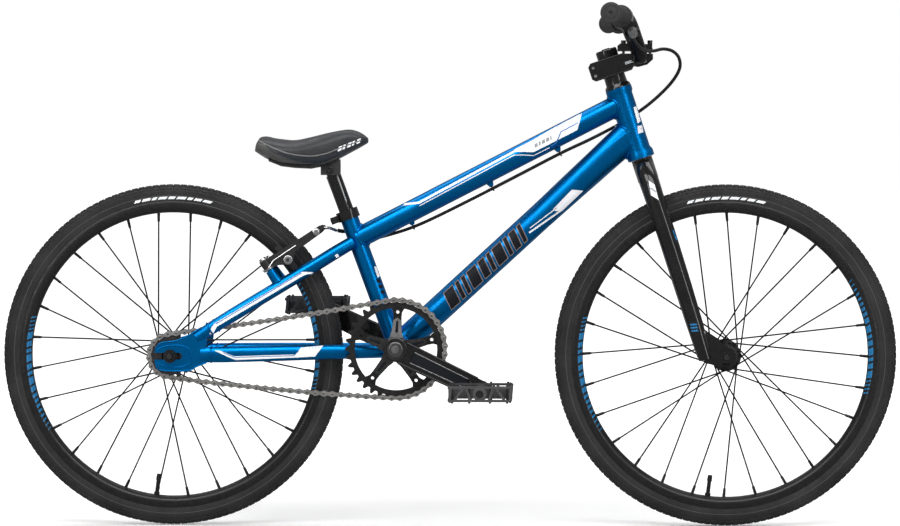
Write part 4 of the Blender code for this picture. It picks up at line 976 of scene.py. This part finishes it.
def crossbar():
    """The brace between the bends, with a weld at each end."""
    shape = Shape()
    ends = [Vector((0.2745, side * 0.0775, 0.7262)) for side, _ in SIDES]
    middle = [ends[0].lerp(ends[1], i / 8) for i in range(9)]
    shape.tube(middle, 0.0080, 24)
    first = (X + Z).normalized()
    for side, _ in SIDES:
        bead_ring(shape, Vector((0.2745, side * 0.0745, 0.7262)), first, Y.cross(first), 0.0082,
                  0.0082, 0.0012)
    shape.piece("bar_brace", [BAR_BLACK], "steering", 40,
                ["handlebar_crossbar"])


def grip(side, name):
    """A soft grip with a wide inner flange, rows of ribs and a rounded end plug."""
    inner = mirrored(BAR_MARKS[6], side)
    outer = mirrored(BAR_MARKS[7], side)
    along = (outer - inner).normalized()
    length = (outer - inner).length
    profile = mm((0, 11.3), (0, 15.5), (0.8, 16.5), (3, 16.5), (4.2, 15.2))
    ribs = 26
    for rib in range(ribs):
        start = 0.0060 + (length - 0.0160) * rib / ribs
        pitch = (length - 0.0160) / ribs
        profile += [(start, 0.0128), (start + pitch * 0.2, 0.0138), (start + pitch * 0.7, 0.0138),
                    (start + pitch * 0.9, 0.0128)]
    profile += [(length - 0.0085, 0.0135), (length - 0.0060, 0.0148), (length + 0.0010, 0.0152),
                (length + 0.0028, 0.0144), (length + 0.0036, 0.0125), (length + 0.0038, 0.0100),
                (length + 0.0033, 0.0094), (length + 0.0037, 0.0088), (length + 0.0037, 0.0024),
                (length + 0.0020, 0.0018), (length + 0.0020, 0.0)]
    shape = Shape()
    shape.turned(inner, along, profile, 48)
    shape.piece(name + "_grip_sleeve", [GRIP], "steering", 40, [name + "_grip"])


def lever_trim():
    """The bolts, adjuster and cable end of the brake lever's clamp."""
    pivot = Vector((0.2703, -0.1670, 0.7280))
    axis = Vector((0.866, 0, 0.5)).normalized()
    start = Vector((0.2690, -0.1480, 0.7290))
    shape = Shape()
    for side in (-1, 1):
        shape.turned(pivot, axis * side, mm((9, 5), (11.2, 4.6), (11.6, 3.6), (11.6, 2), (10, 1.8),
                                            (10, 0)), 20)
    collar = mm((-0.5, 3), (0, 4.6), (5, 4.6), (5.6, 3.4), (11, 3.4), (11.4, 2.6))
    shape.turned(start - Y * 0.0020, Y, collar, 18)
    shape.piece("lever_trim", [SATIN], "steering", 35)


handlebar()
crossbar()
for side, name in SIDES:
    grip(side, name)
lever_trim()


# ---- stem and headset

STEM_CENTRE = HEAD_LOW + STEER_UP * 0.1430


def socket_bolt(shape, spot, axis, radius, height, dark, hex_radius):
    """A round bolt head with a six-sided socket."""
    shape.turned(spot, axis, [(0.0, radius), (height * 0.8, radius), (height, radius * 0.86),
                              (height, hex_radius * 1.15)], 24)
    shape.look = dark
    shape.turned(spot, axis, [(height, hex_radius * 1.15), (height * 0.5, hex_radius),
                              (height * 0.5, 0.0)], 6)
    shape.look = 0


def stem_trim():
    """Bolts on top, behind the steerer and in the top cap."""
    shape = Shape()
    for ahead in (-0.0245, 0.0148):
        for aside in (-0.0125, 0.0125):
            spot = BAR_CLAMP + Vector((ahead, aside, 0.0232))
            socket_bolt(shape, spot, Z, 0.0037, 0.0012, 1, 0.0018)
    for up in (-0.0062, 0.0062):
        for side in (-1, 1):
            spot = STEM_CENTRE - STEER_FORWARD * 0.0262 + STEER_UP * up + Y * side * 0.0212
            socket_bolt(shape, spot, Y * side, 0.0036, 0.0022, 1, 0.0019)
    top = HEAD_LOW + STEER_UP * 0.1693
    socket_bolt(shape, top, STEER_UP, 0.0058, 0.0016, 1, 0.0026)
    shape.piece("stem_bolts", [SATIN, BRIGHT], "steering", 35)


def stem_edges():
    """Rounded edges of the stem's side faces, which catch the light."""
    shape = Shape()
    outline = mm((-32, -9), (-28, -13), (28, -13), (32, -9), (38.5, -12), (52, -12.8),
                 (61.5, -8.5), (64, -2.2), (19.4, 13), (-28, 13), (-32, 9))
    for side, _ in SIDES:
        path = [STEM_CENTRE + STEER_FORWARD * u + STEER_UP * v + Y * side * 0.0212
                for u, v in outline]
        shape.tube(path, 0.0009, 8, closed=True)
    shape.piece("stem_edges", [BLACK], "steering", 60)


def headset_trim():
    """Turned steel lips at both ends of the head tube, where the bearings show."""
    fixed = Shape()
    fixed.turned(HEAD_LOW, STEER_UP, mm((-0.2, 15), (-1, 18), (0.4, 19.3), (1.2, 19.3)), 40)
    fixed.turned(HEAD_LOW, STEER_UP, mm((108.2, 19.3), (109.2, 19.3), (109.6, 18.6), (109.6, 17)),
                 40)
    fixed.piece("headset_lips", [BRIGHT], "frame", 35)


stem_trim()
stem_edges()
headset_trim()


# ---- cables

FRONT_CABLE = mm((269, -148, 729), (274, -122, 719), (283, -95, 709), (293, -70, 704.5),
                 (304, -48, 705), (318, -29, 708), (332, -17, 705), (341.5, -8, 695),
                 (342.5, 2, 679), (330, 15, 658), (306, 26, 634), (280, 29, 614), (248, 27, 594))
REAR_CABLE = mm((246.8, 26.4, 593.4), (210, 12, 574.5), (165.5, 6, 553.5), (100, 6, 519.5),
                (30, 6, 483.5), (-40, 7, 449.5), (-85, 11, 433.5), (-125, 18.5, 425),
                (-150, 21.5, 435), (-166.4, 17.2, 438.5))
CABLE_RADIUS = 0.0025


def front_cable():
    """The housing loop from the brake lever to the start of the rear housing."""
    shape = Shape()
    path = smooth_path(FRONT_CABLE, 8)
    shape.tube(path, CABLE_RADIUS, 14)
    loop = shape.piece("front_housing", [HOUSING], None, 50, ["front_cable_loop"])
    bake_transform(loop)
    return loop


def rear_cable():
    """The housing under the top tube, with a metal ferrule at the brake."""
    shape = Shape()
    path = smooth_path(REAR_CABLE, 8)
    shape.tube(path, CABLE_RADIUS, 14)
    shape.look = 1
    shape.tube([path[-1] - (path[-1] - path[-3]).normalized() * 0.009, path[-1]], 0.0031, 14)
    shape.piece("rear_housing", [HOUSING, SATIN], "frame", 50,
                ["rear_brake_cable"])


def cable_guides():
    """Welded tabs under the top tube, each with a dark clip round the housing."""
    path = smooth_path(REAR_CABLE, 8)
    shape = Shape()
    for x in (0.167, 0.064, -0.050):
        index = min(range(len(path)), key=lambda i: abs(path[i].x - x))
        spot = path[index]
        along = (path[index - 1] - path[index + 1]).normalized()
        up = upright(along)
        under = Vector((spot.x, 0, spot.z)) + up * 0.0100
        shape.look = 0
        outline = mm((-6, 0.5), (-2.8, -6.8), (2.8, -6.8), (6, 0.5))
        shape.slab(outline, -0.0055 - 0.0011, -0.0055 + 0.0011, under, along, up)
        shape.look = 1
        side = along.cross(up)
        ring = [spot + (up * c + side * s) * 0.0034 for c, s in circle(20)]
        shape.tube(ring, 0.0013, 8, closed=True)
    shape.piece("cable_guides", [BLUE, HOUSING], "frame", 40)


front_cable()
rear_cable()
cable_guides()


# ---- rear brake


def brake_trim(side, name):
    """What is bolted to one brake arm: pad washers, pivot bolt and return spring."""
    pivot = mirrored(BRAKE_PIVOT, side) + Y * side * 0.040
    tip = BRAKE_PIVOT + BRAKE_ALONG * 0.098 + Y * side * 0.0270
    along = (tip - pivot).normalized()
    out = along.cross(BRAKE_OUT).normalized()
    out = out if out.y * side > 0 else -out
    shape = Shape()
    pad = Vector((-0.237, side * 0.0462, 0.396))
    shape.turned(pad - Y * side * 0.0030, Y * side, mm((0, 6.6), (1.6, 6.6), (2, 6), (2, 5.2),
                                                       (5, 5.2), (5.6, 4.6), (5.6, 2.6),
                                                       (3.4, 2.2), (3.4, 0)), 24)
    shape.turned(pivot, BRAKE_OUT, mm((7.8, 6.8), (9.2, 6.8), (9.6, 6), (12, 5.2), (12.6, 4),
                                      (12.6, 2.2), (10.5, 2), (10.5, 0)), 24)
    coil = []
    for k in range(28):
        a = math.tau * k / 12
        coil.append(pivot + (along * math.cos(a) + out * math.sin(a)) * 0.0082
                    - BRAKE_OUT * (0.0075 - 0.0028 * k / 28))
    leg = [coil[-1], pivot + along * 0.012 + out * 0.0072, pivot + along * 0.030 + out * 0.0062,
           pivot + along * 0.052 + out * 0.0048]
    shape.tube(coil + leg[1:], 0.0009, 8)
    tail = [coil[0], coil[0] - along * 0.010 - BRAKE_OUT * 0.002,
            coil[0] - along * 0.018 + BRAKE_OUT * 0.004]
    shape.tube(tail, 0.0009, 8)
    shape.piece(name + "_brake_trim", [BRIGHT], name + "_brake", 40)


def noodle():
    """The bent lead pipe, and the ribbed boot between the arms."""
    anchor = BRAKE_PIVOT + BRAKE_ALONG * 0.095
    marks = [(anchor.x, 0.0290, anchor.z), (anchor.x, 0.0220, anchor.z),
             (anchor.x, 0.0150, anchor.z), (anchor.x + 0.004, 0.0090, anchor.z + 0.001),
             (anchor.x + 0.012, 0.0100, anchor.z + 0.001),
             (anchor.x + 0.022, 0.0168, anchor.z - 0.003)]
    shape = Shape()
    shape.tube(smooth_path(marks[1:], 6), 0.0024, 14)
    shape.look = 1
    profile = []
    for rib in range(5):
        start = -0.0150 + 0.0052 * rib
        profile += [(start, 0.0034), (start + 0.0018, 0.0048), (start + 0.0036, 0.0048),
                    (start + 0.0050, 0.0034)]
    shape.turned(Vector((anchor.x, 0, anchor.z)), Y, profile, 20)
    shape.piece("noodle_and_boot", [BRIGHT, HOUSING], "left_brake", 40,
                ["brake_noodle"])


def pinch_bolt():
    """The bolt and washer that hold the bare wire on the right arm, with the wire's loose end."""
    anchor = BRAKE_PIVOT + BRAKE_ALONG * 0.088 + Y * -0.0270
    shape = Shape()
    shape.turned(anchor, -Y, mm((4, 5.8), (5.6, 5.8), (6, 4.4), (9, 4.2), (9.4, 3.4), (9.4, 2),
                                (7.4, 1.8), (7.4, 0)), 24)
    wire = [anchor + Y * 0.0150 + BRAKE_ALONG * 0.007, anchor - Y * 0.0046 + BRAKE_ALONG * 0.006,
            anchor - Y * 0.0050 - BRAKE_ALONG * 0.006, anchor - Y * 0.0060 - BRAKE_ALONG * 0.020
            - BRAKE_OUT * 0.004]
    shape.tube(smooth_path(wire, 4), 0.0008, 8)
    shape.piece("pinch_bolt", [BRIGHT], "right_brake", 40)


for side, name in SIDES:
    brake_trim(side, name)
noodle()
pinch_bolt()


# ---- saddle

SADDLE_STATIONS = mm((-286.6, 556.2, 559, 40), (-286, 555, 563, 45), (-284.3, 553.8, 570, 49),
                     (-282, 552.4, 574.8, 51), (-278, 550.3, 578, 53), (-270, 546.2, 578.5, 55),
                     (-260, 542, 575.8, 56.5), (-248, 537, 574, 58.5), (-228, 534.5, 572.5, 56),
                     (-205, 533.5, 577, 47), (-185, 537, 582, 37), (-164, 545.5, 586.5, 29),
                     (-145, 555.5, 589, 24), (-130, 563.5, 584.5, 19), (-119, 570, 576.5, 10))
PIPING_MARKS = mm((-279, 572), (-260, 563), (-240, 555), (-220, 551), (-200, 550), (-180, 554),
                  (-160, 562), (-130, 573))
SEAM_MARKS = mm((-270, 569), (-262, 559), (-240, 548), (-215, 540.5), (-195, 538.5))


def height_on(marks, x):
    for (x0, z0), (x1, z1) in zip(marks, marks[1:]):
        if x0 <= x <= x1:
            return z0 + (z1 - z0) * (x - x0) / (x1 - x0)
    return marks[0][1] if x < marks[0][0] else marks[-1][1]


def swell(obj, cap, frames=16):
    """Fills the pad like a cushion: cloth under pressure, held within cap of where it began."""
    start = [v.co.copy() for v in obj.data.vertices]
    cloth = obj.modifiers.new("fill", "CLOTH")
    cloth.settings.quality = 4
    cloth.settings.use_pressure = True
    cloth.settings.uniform_pressure_force = 3.0
    cloth.settings.effector_weights.gravity = 0
    cloth.settings.tension_stiffness = 30
    cloth.settings.bending_stiffness = 2
    scene = bpy.context.scene
    for number in range(1, frames + 1):
        scene.frame_set(number)
    swollen = obj.evaluated_get(bpy.context.evaluated_depsgraph_get())
    moved = [v.co.copy() for v in swollen.data.vertices]
    obj.modifiers.remove(cloth)
    scene.frame_set(1)
    for vertex, before, after in zip(obj.data.vertices, start, moved):
        shift = after - before
        if shift.length > cap:
            shift = shift.normalized() * cap
        vertex.co = before + shift


def saddle_pad():
    """The padded cover: a pebbled top, darker side panels and a paler tail bumper."""
    stations = [Vector((x, (bottom + top) / 2, (top - bottom) / 2)) for x, bottom, top, _ in
                SADDLE_STATIONS]
    widths = [Vector((half, 0, 0)) for *_, half in SADDLE_STATIONS]
    shape = Shape()
    rings = []
    for spot, wide in zip(smooth_path(stations, 4), smooth_path(widths, 4)):
        ring = []
        for c, s in circle(56):
            y = (wide.x - 0.0010) * math.copysign(abs(c) ** 0.75, c)
            z = spot.y + spot.z * math.copysign(abs(s) ** 0.75, s)
            ring.append(Vector((spot.x, y, z)))
        rings.append(ring)
    shape.skin(rings, capped=True)
    pad = shape.piece("saddle_cover", [COVER_TOP, COVER_SIDE, COVER_TAIL], None,
                      60, ["saddle_pad"])
    swell(pad, 0.0010)
    for polygon in pad.data.polygons:
        spot = polygon.center
        if spot.x < -0.2825 or spot.z < height_on(SEAM_MARKS, spot.x) and spot.x < -0.1950:
            polygon.material_index = 2
        elif spot.z < height_on(PIPING_MARKS, spot.x):
            polygon.material_index = 1
    fine = pad.modifiers.new("finer", "SUBSURF")
    fine.levels = 1
    fine.render_levels = 1
    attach(pad, "saddle")
    return pad


def laid_line(shape, tree, marks, side, radius, steps=6):
    """A cord sewn along a surface, found from the side."""
    path = []
    for spot in smooth_path([(x, 0, z) for x, z in marks], steps):
        hit, normal, _, _ = tree.ray_cast(Vector((spot.x, side * 0.2, spot.z)), Y * -side)
        if hit is not None:
            path.append(hit + normal * radius * 0.2 * (1 if normal.y * side > 0 else -1))
    shape.tube(path, radius, 8)


def saddle_seams(pad):
    """Piping and seam cords along both sides, and five short printed bars."""
    tree = surface_of(pad.data)
    shape = Shape()
    for side in (-1, 1):
        shape.look = 0
        laid_line(shape, tree, PIPING_MARKS, side, 0.0009)
        shape.look = 1
        laid_line(shape, tree, SEAM_MARKS, side, 0.0007)
        shape.look = 2
        for k in range(5):
            x = -0.1640 + 0.0068 * k
            wide = 0.0034 if k % 2 else 0.0052
            bar = []
            for u, v in ((0, -0.0035), (wide, -0.0035), (wide + 0.0016, 0.0028), (0.0016, 0.0028)):
                z = 0.5600 + (x + u + 0.1640) * 0.40 + v
                hit, _, _, _ = tree.ray_cast(Vector((x + u, side * 0.2, z)), Y * -side)
                if hit is not None:
                    bar.append(hit + Y * side * 0.0005)
            if len(bar) == 4:
                shape.add(bar, [[0, 1, 2, 3]])
    shape.piece("saddle_piping", [PIPING, COVER_SIDE, WHITE], "saddle", 60)


def saddle_bracket():
    """The two ends of the clamp's cross bolt, under the hard base."""
    pivot = Vector((-0.1770, 0, 0.5290))
    shape = Shape()
    for side in (-1, 1):
        socket_bolt(shape, pivot + Y * side * 0.0165, Y * side, 0.0058, 0.0028, 1, 0.0026)
    shape.piece("saddle_bolt", [SATIN, DARK_STEEL], "saddle", 35)


saddle = saddle_pad()
saddle_seams(saddle)
saddle_bracket()


# ---- seat clamp


def seat_clamp_trim():
    """The two ends of the bolt behind the seat tube."""
    bolt = CRANK + SEAT_UP * 0.2103 - SEAT_FORWARD * 0.0222
    shape = Shape()
    for side in (-1, 1):
        socket_bolt(shape, bolt + Y * side * 0.0098, Y * side, 0.0050, 0.0026, 1, 0.0024)
    shape.piece("seat_clamp_ends", [SATIN, BRIGHT], "frame", 35)


seat_clamp_trim()


# ---- welds


def weld(shape, host, start, toward, tall, wide, bead=0.0016, grip=None, count=40):
    """A rippled bead where a tube of the given half sizes meets the surface of another node."""
    tree = surface_of(frame["nodes"][host].data)
    toward = Vector(toward).normalized()
    up = upright(toward)
    side = toward.cross(up).normalized()
    path = []
    for c, s in circle(count):
        across = wide * c
        if grip:
            across = max(-grip, min(grip, across))
        spot = Vector(start) + side * across + up * (tall * s)
        hit, _, _, _ = tree.ray_cast(spot, toward)
        if hit is not None:
            path.append(hit - toward * bead * 0.2)
    if len(path) > count * 0.7:
        radii = [bead * (1.0 + 0.16 * (k % 2)) for k in range(len(path))]
        shape.tube(path, radii, 8, closed=True)


def frame_welds():
    """Beads where the main tubes and the stays meet."""
    shape = Shape()
    top_back = Vector((-0.136, 0, 0.4269))
    top_front = Vector((0.2587, 0, 0.6292))
    top_line = (top_front - top_back).normalized()
    down_front = Vector((0.278, 0, 0.590))
    down_line = (down_front - CRANK).normalized()
    weld(shape, "head_tube", top_front - top_line * 0.06, top_line, 0.0162, 0.0162, 0.0018,
         grip=0.0158, count=56)
    weld(shape, "head_tube", down_front - down_line * 0.07, down_line, 0.0232, 0.0180, 0.0018,
         grip=0.0160, count=64)
    weld(shape, "crank_shell", CRANK + down_line * 0.06, -down_line, 0.0192, 0.0190, 0.0017,
         count=56)
    weld(shape, "seat_tube", top_back + top_line * 0.06, -top_line, 0.0162, 0.0162, 0.0017,
         grip=0.0128, count=56)
    weld(shape, "crank_shell", CRANK + SEAT_UP * 0.06, -SEAT_UP, 0.0138, 0.0138, 0.0016)
    for side in (-1, 1):
        weld(shape, "seat_tube", (-0.165, side * 0.0110, 0.4085), (0.86, 0, 0.50), 0.0098,
             0.0050, 0.0013, grip=0.0050)
        weld(shape, "crank_shell", (-0.125, side * 0.0262, 0.2600), (1, 0, 0.01), 0.0112, 0.0070,
             0.0014)
    shape.piece("frame_welds", [BLUE], "frame", 60)


def stay_welds():
    """Beads where the stays meet their dropout plates."""
    shape = Shape()
    for side in (-1, 1):
        for centre, axis, tall, wide in (
                ((-0.3520, side * 0.0566, 0.2945), Vector((0.86, 0, 0.50)), 0.0094, 0.0060),
                ((-0.3500, side * 0.0556, 0.2563), X, 0.0111, 0.0070)):
            bead_ring(shape, Vector(centre), Y, upright(axis).normalized(), wide, tall, 0.0014)
    shape.piece("stay_welds", [BLUE], "frame", 60)


def dropout_edges():
    """The rolled rim of each rear dropout plate, and the raised lip round its slot."""
    rim = mm((-432.5, 265.5), (-424, 273.6), (-405, 276.2), (-387, 282.5), (-366, 295.5))
    under = mm((-356.5, 244.5), (-372, 238.5), (-385, 232.5), (-424, 233.3), (-432.5, 242.5))
    lip = mm((-430, 264), (-415, 269.2), (-396, 270), (-383, 265), (-379, 254), (-383, 243),
             (-396, 238), (-415, 238.5), (-430, 244))
    shape = Shape()
    for side, _ in SIDES:
        for marks, radius in ((rim, 0.0011), (under, 0.0011), (lip, 0.0010)):
            path = smooth_path([(x, side * 0.0601, z) for x, z in marks], 5)
            shape.tube(path, radius, 10)
    shape.piece("dropout_edges", [BLUE], "frame", 60)


frame_welds()
stay_welds()
dropout_edges()


# ---- printed decoration


def decal(name, node, outline, look, lift=DECAL_LIFT, body="frame"):
    """A print on both sides of a CAD node, from an outline of (x, z) in millimetres."""
    for side, side_name in SIDES:
        print_on(name + "_" + side_name, node, mm(*outline), side, look, body, lift)


def along_line(start, end):
    """A function that turns (distance along, distance above) a line into (x, z)."""
    start = Vector(start)
    along = (Vector(end) - start).normalized()
    above = Vector((-along.y, along.x))
    return lambda u, v: tuple(start + along * u + above * v)


def top_tube_print():
    """A white line that widens into a panel, with thin blue lines in and below it."""
    decal("top_tube_stripe", "top_tube", stripe([(-69, 477.5), (-44, 480.5), (100, 558)], 3.2),
          WHITE)
    decal("top_tube_panel", "top_tube",
          [(96, 556), (113, 556), (126, 555.5), (191, 588.5), (198, 613), (190, 609.5),
           (158, 592.5), (121, 571.5), (98, 559.5)], WHITE)
    decal("top_tube_line", "top_tube",
          stripe([(-43, 476), (97, 551), (113, 551.5), (126, 550.5), (150, 562.5)], 1.3), PALE)
    decal("top_tube_split", "top_tube",
          stripe([(152, 564.5), (160, 570), (167, 586), (192, 599)], 1.5), BLUE_LINE,
          OVERPRINT_LIFT)
    place = along_line((128, 562), (158, 577))
    for number, (start, end) in enumerate(((0, 5), (7, 10), (12, 17), (19, 24), (26, 28))):
        bar = [place(start, 0), place(end, 0), place(end + 2, 5), place(start + 2, 5)]
        decal("top_tube_dash_%d" % number, "top_tube", bar, SOFT_GREY, OVERPRINT_LIFT)


def down_tube_print():
    """Slanted black bars with thin copper edges, then a pale panel with two lines."""
    place = along_line((-77, 264.3), (278, 590))
    start = 99
    for number, wide in enumerate((17, 6, 6, 17, 11, 6, 17, 6, 11, 6)):
        for edge, look, lift, name in ((1.1, COPPER, DECAL_LIFT, "edge"),
                                       (0.0, INK, OVERPRINT_LIFT, "bar")):
            low, high = -12.5 - edge, 12.5 + edge
            left, right = start - edge, start + wide + edge
            outline = [place(left, low), place(right, low), place(right + 8, high),
                       place(left + 8, high)]
            decal("down_tube_%s_%d" % (name, number), "down_tube", outline, look, lift)
        start += wide + 5.5
    decal("down_tube_panel", "down_tube",
          [(183, 500), (200, 498.5), (168, 468), (158, 468.5), (155, 471)], PALE)
    decal("down_tube_stripe", "down_tube", stripe([(166, 468.5), (119.5, 436)], 2.6), PALE)
    decal("down_tube_line", "down_tube", stripe([(160.5, 473), (121, 443)], 1.3), PALE)


def small_prints():
    """Marks on the head tube, seat tube, stays, fork and stem, and a grey line of painted
    highlight along the seat post.
    """
    decal("head_stripe", "head_tube", [(274, 622), (278.5, 624), (284.5, 602), (280.5, 598)],
          WHITE)
    decal("head_badge", "head_tube", [(281, 583), (289, 585), (287, 596), (280, 594)], PALE)
    decal("seat_tube_mark", "seat_tube", [(-111, 385), (-106, 386), (-101, 371), (-106, 369)],
          WHITE)
    place = along_line((-106.0, 367.0), (-94.5, 336.0))
    for number in range(3):
        start = 9 * number
        decal("seat_tube_bar_%d" % number, "seat_tube",
              [place(start, -2), place(start + 5, -2), place(start + 6.5, 3),
               place(start + 1.5, 3)], INK)
    for side, name in SIDES:
        seatstay = [(-353, 283), (-349, 284), (-341, 298), (-216, 372), (-209, 375),
                    (-197, 375.5), (-200, 378), (-216, 378.5), (-344, 303), (-349, 297)]
        chainstay = [(-345, 262.5), (-337, 262.5), (-316, 254), (-226, 256), (-218, 266),
                     (-185, 269), (-197, 253), (-226, 251.5), (-313, 248.5), (-318, 250)]
        seat_line = stripe([(-342.5, 302.0), (-217, 376.7)], 1.2)
        chain_line = stripe([(-332, 259.2), (-315, 252.4), (-228, 254.4), (-221, 261.5)], 1.1)
        for kind, outline, line in (("seatstay", seatstay, seat_line),
                                    ("chainstay", chainstay, chain_line)):
            node = name + "_" + kind
            for part, shape, look, lift in (("panel", outline, WHITE, DECAL_LIFT),
                                            ("line", line, BLUE_LINE, OVERPRINT_LIFT)):
                print_on(node + "_" + part, node, mm(*shape), side, look, "frame",
                         lift)
        mark = mm((-168, 403), (-164, 405), (-162, 401), (-166, 399))
        print_on(name + "_seatstay_mark", name + "_seatstay", mark, side, WHITE, "frame")
    decal("fork_panel", "fork", [(296, 514), (305, 508), (311, 485), (300, 492)], WHITE,
          body="steering")
    decal("fork_panel_line", "fork", stripe([(299, 503), (307, 497)], 2.2), SOFT_GREY,
          OVERPRINT_LIFT, "steering")
    decal("fork_flash", "fork", [(331, 441), (337, 438), (343, 424), (337, 425)], CYAN,
          body="steering")
    for number in range(3):
        z = 291 + 4.6 * number
        decal("fork_dash_%d" % number, "fork",
              [(360 - number, z), (370 - number, z + 1), (369 - number, z + 3.4),
               (359 - number, z + 2.4)], CYAN, body="steering")
    decal("stem_bar", "stem", [(262, 685), (288, 693), (287, 697), (261, 689)], SOFT_GREY,
          body="steering")
    # A thin grey line along the seat post: a painted highlight.
    decal("post_painted_highlight", "seat_post", stripe([(-168, 528), (-152, 482)], 1.4), SOFT_GREY,
          0.00012, "seat_post")


top_tube_print()
down_tube_print()
small_prints()


# ---- floor, lights and camera

SKY_RADIUS = 40.0


def glowing_paper():
    """Backdrop paper that grows lighter with the distance from the middle of the floor."""
    paper, shader = plain("studio_paper", (0.93, 0.93, 0.93), 0.0, 0.9)
    vary_colour(paper, shader, noise(paper, 3), (0.92, 0.92, 0.92), (0.94, 0.94, 0.94))
    reach = add_node(paper, "ShaderNodeVectorMath", operation="LENGTH")
    links = paper.node_tree.links
    links.new(own_place(paper), reach.inputs[0])
    glow = remap(paper, reach.outputs["Value"], (0.3, 3.5), (0.16, 0.95))
    links.new(glow, shader.inputs["Emission Strength"])
    set_inputs(shader, Emission_Color=(1, 1, 1, 1))
    return paper


def studio_mesh(name, rings, looks):
    shape = Shape()
    shape.skin(rings, closed_round=False)
    made = shape.piece(name, looks, None, 60)
    made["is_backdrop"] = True
    return made


def studio_floor():
    """A round pale floor, and beyond it a white sky that only the camera sees."""
    paper = glowing_paper()
    around = [math.tau * k / 64 for k in range(65)]
    floor = [[Vector((r * math.cos(a), r * math.sin(a), -0.0005)) for a in around]
             for r in (0.0001, 1.0, 2.0, 4.0, 8.0, SKY_RADIUS)]
    studio_mesh("studio_floor", floor, [paper]).visible_glossy = False
    white, shader = plain("studio_sky", (0.0, 0.0, 0.0), 0.0, 1.0)
    set_inputs(shader, Emission_Color=(1, 1, 1, 1), Emission_Strength=1.0)
    levels = [math.radians(-10 + 10 * i) for i in range(11)]
    dome = [[Vector((math.cos(e) * math.cos(a), math.cos(e) * math.sin(a), math.sin(e)))
             * SKY_RADIUS for a in around] for e in levels]
    sky = studio_mesh("studio_sky", dome, [white])
    sky.visible_diffuse = False
    sky.visible_glossy = False
    sky.visible_shadow = False
    sky.visible_transmission = False


def soft_light(name, place, target, wide, tall, power):
    """A wide area light that faces its target."""
    data = bpy.data.lights.new(name, "AREA")
    data.shape = "RECTANGLE"
    data.size = wide
    data.size_y = tall
    data.energy = power
    light = bpy.data.objects.new(name, data)
    light.location = place
    light.rotation_euler = (Vector(target) - Vector(place)).to_track_quat("-Z", "Y").to_euler()
    bpy.context.scene.collection.objects.link(light)


def studio():
    """The floor, an even grey air, four soft lights and the camera."""
    studio_floor()
    world = bpy.data.worlds.new("studio_air")
    world.use_nodes = True
    set_inputs(world.node_tree.nodes["Background"], Color=(1, 1, 1, 1), Strength=0.27)
    bpy.context.scene.world = world
    soft_light("overhead", (0.0, -2.3, 2.9), (0, 0.1, 0.2), 5.0, 1.4, 95)
    soft_light("floor_wash", (0.0, 0.9, 3.4), (0, 0.9, 0), 6.0, 1.4, 70)
    soft_light("front_left", (-2.8, -4.4, 1.7), (0, 0, 0.35), 0.7, 2.4, 30)
    soft_light("front_right", (3.2, -3.8, 1.4), (0, 0, 0.35), 0.5, 2.6, 26)
    data = bpy.data.cameras.new("camera")
    data.lens = 172.1
    data.sensor_width = 36
    camera = bpy.data.objects.new("camera", data)
    camera.location = (0.20, -6.4, 0.58)
    aim = Vector((0.0017, 0, 0.3905)) - camera.location
    camera.rotation_euler = aim.to_track_quat("-Z", "Y").to_euler()
    bpy.context.scene.collection.objects.link(camera)
    bpy.context.scene.camera = camera
    bpy.context.scene.view_settings.view_transform = "Standard"


studio()
for kept_box, corners in (("cad", cad_box), ("visual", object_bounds())):
    print(kept_box, [[round(c, 4) for c in corner] for corner in corners])
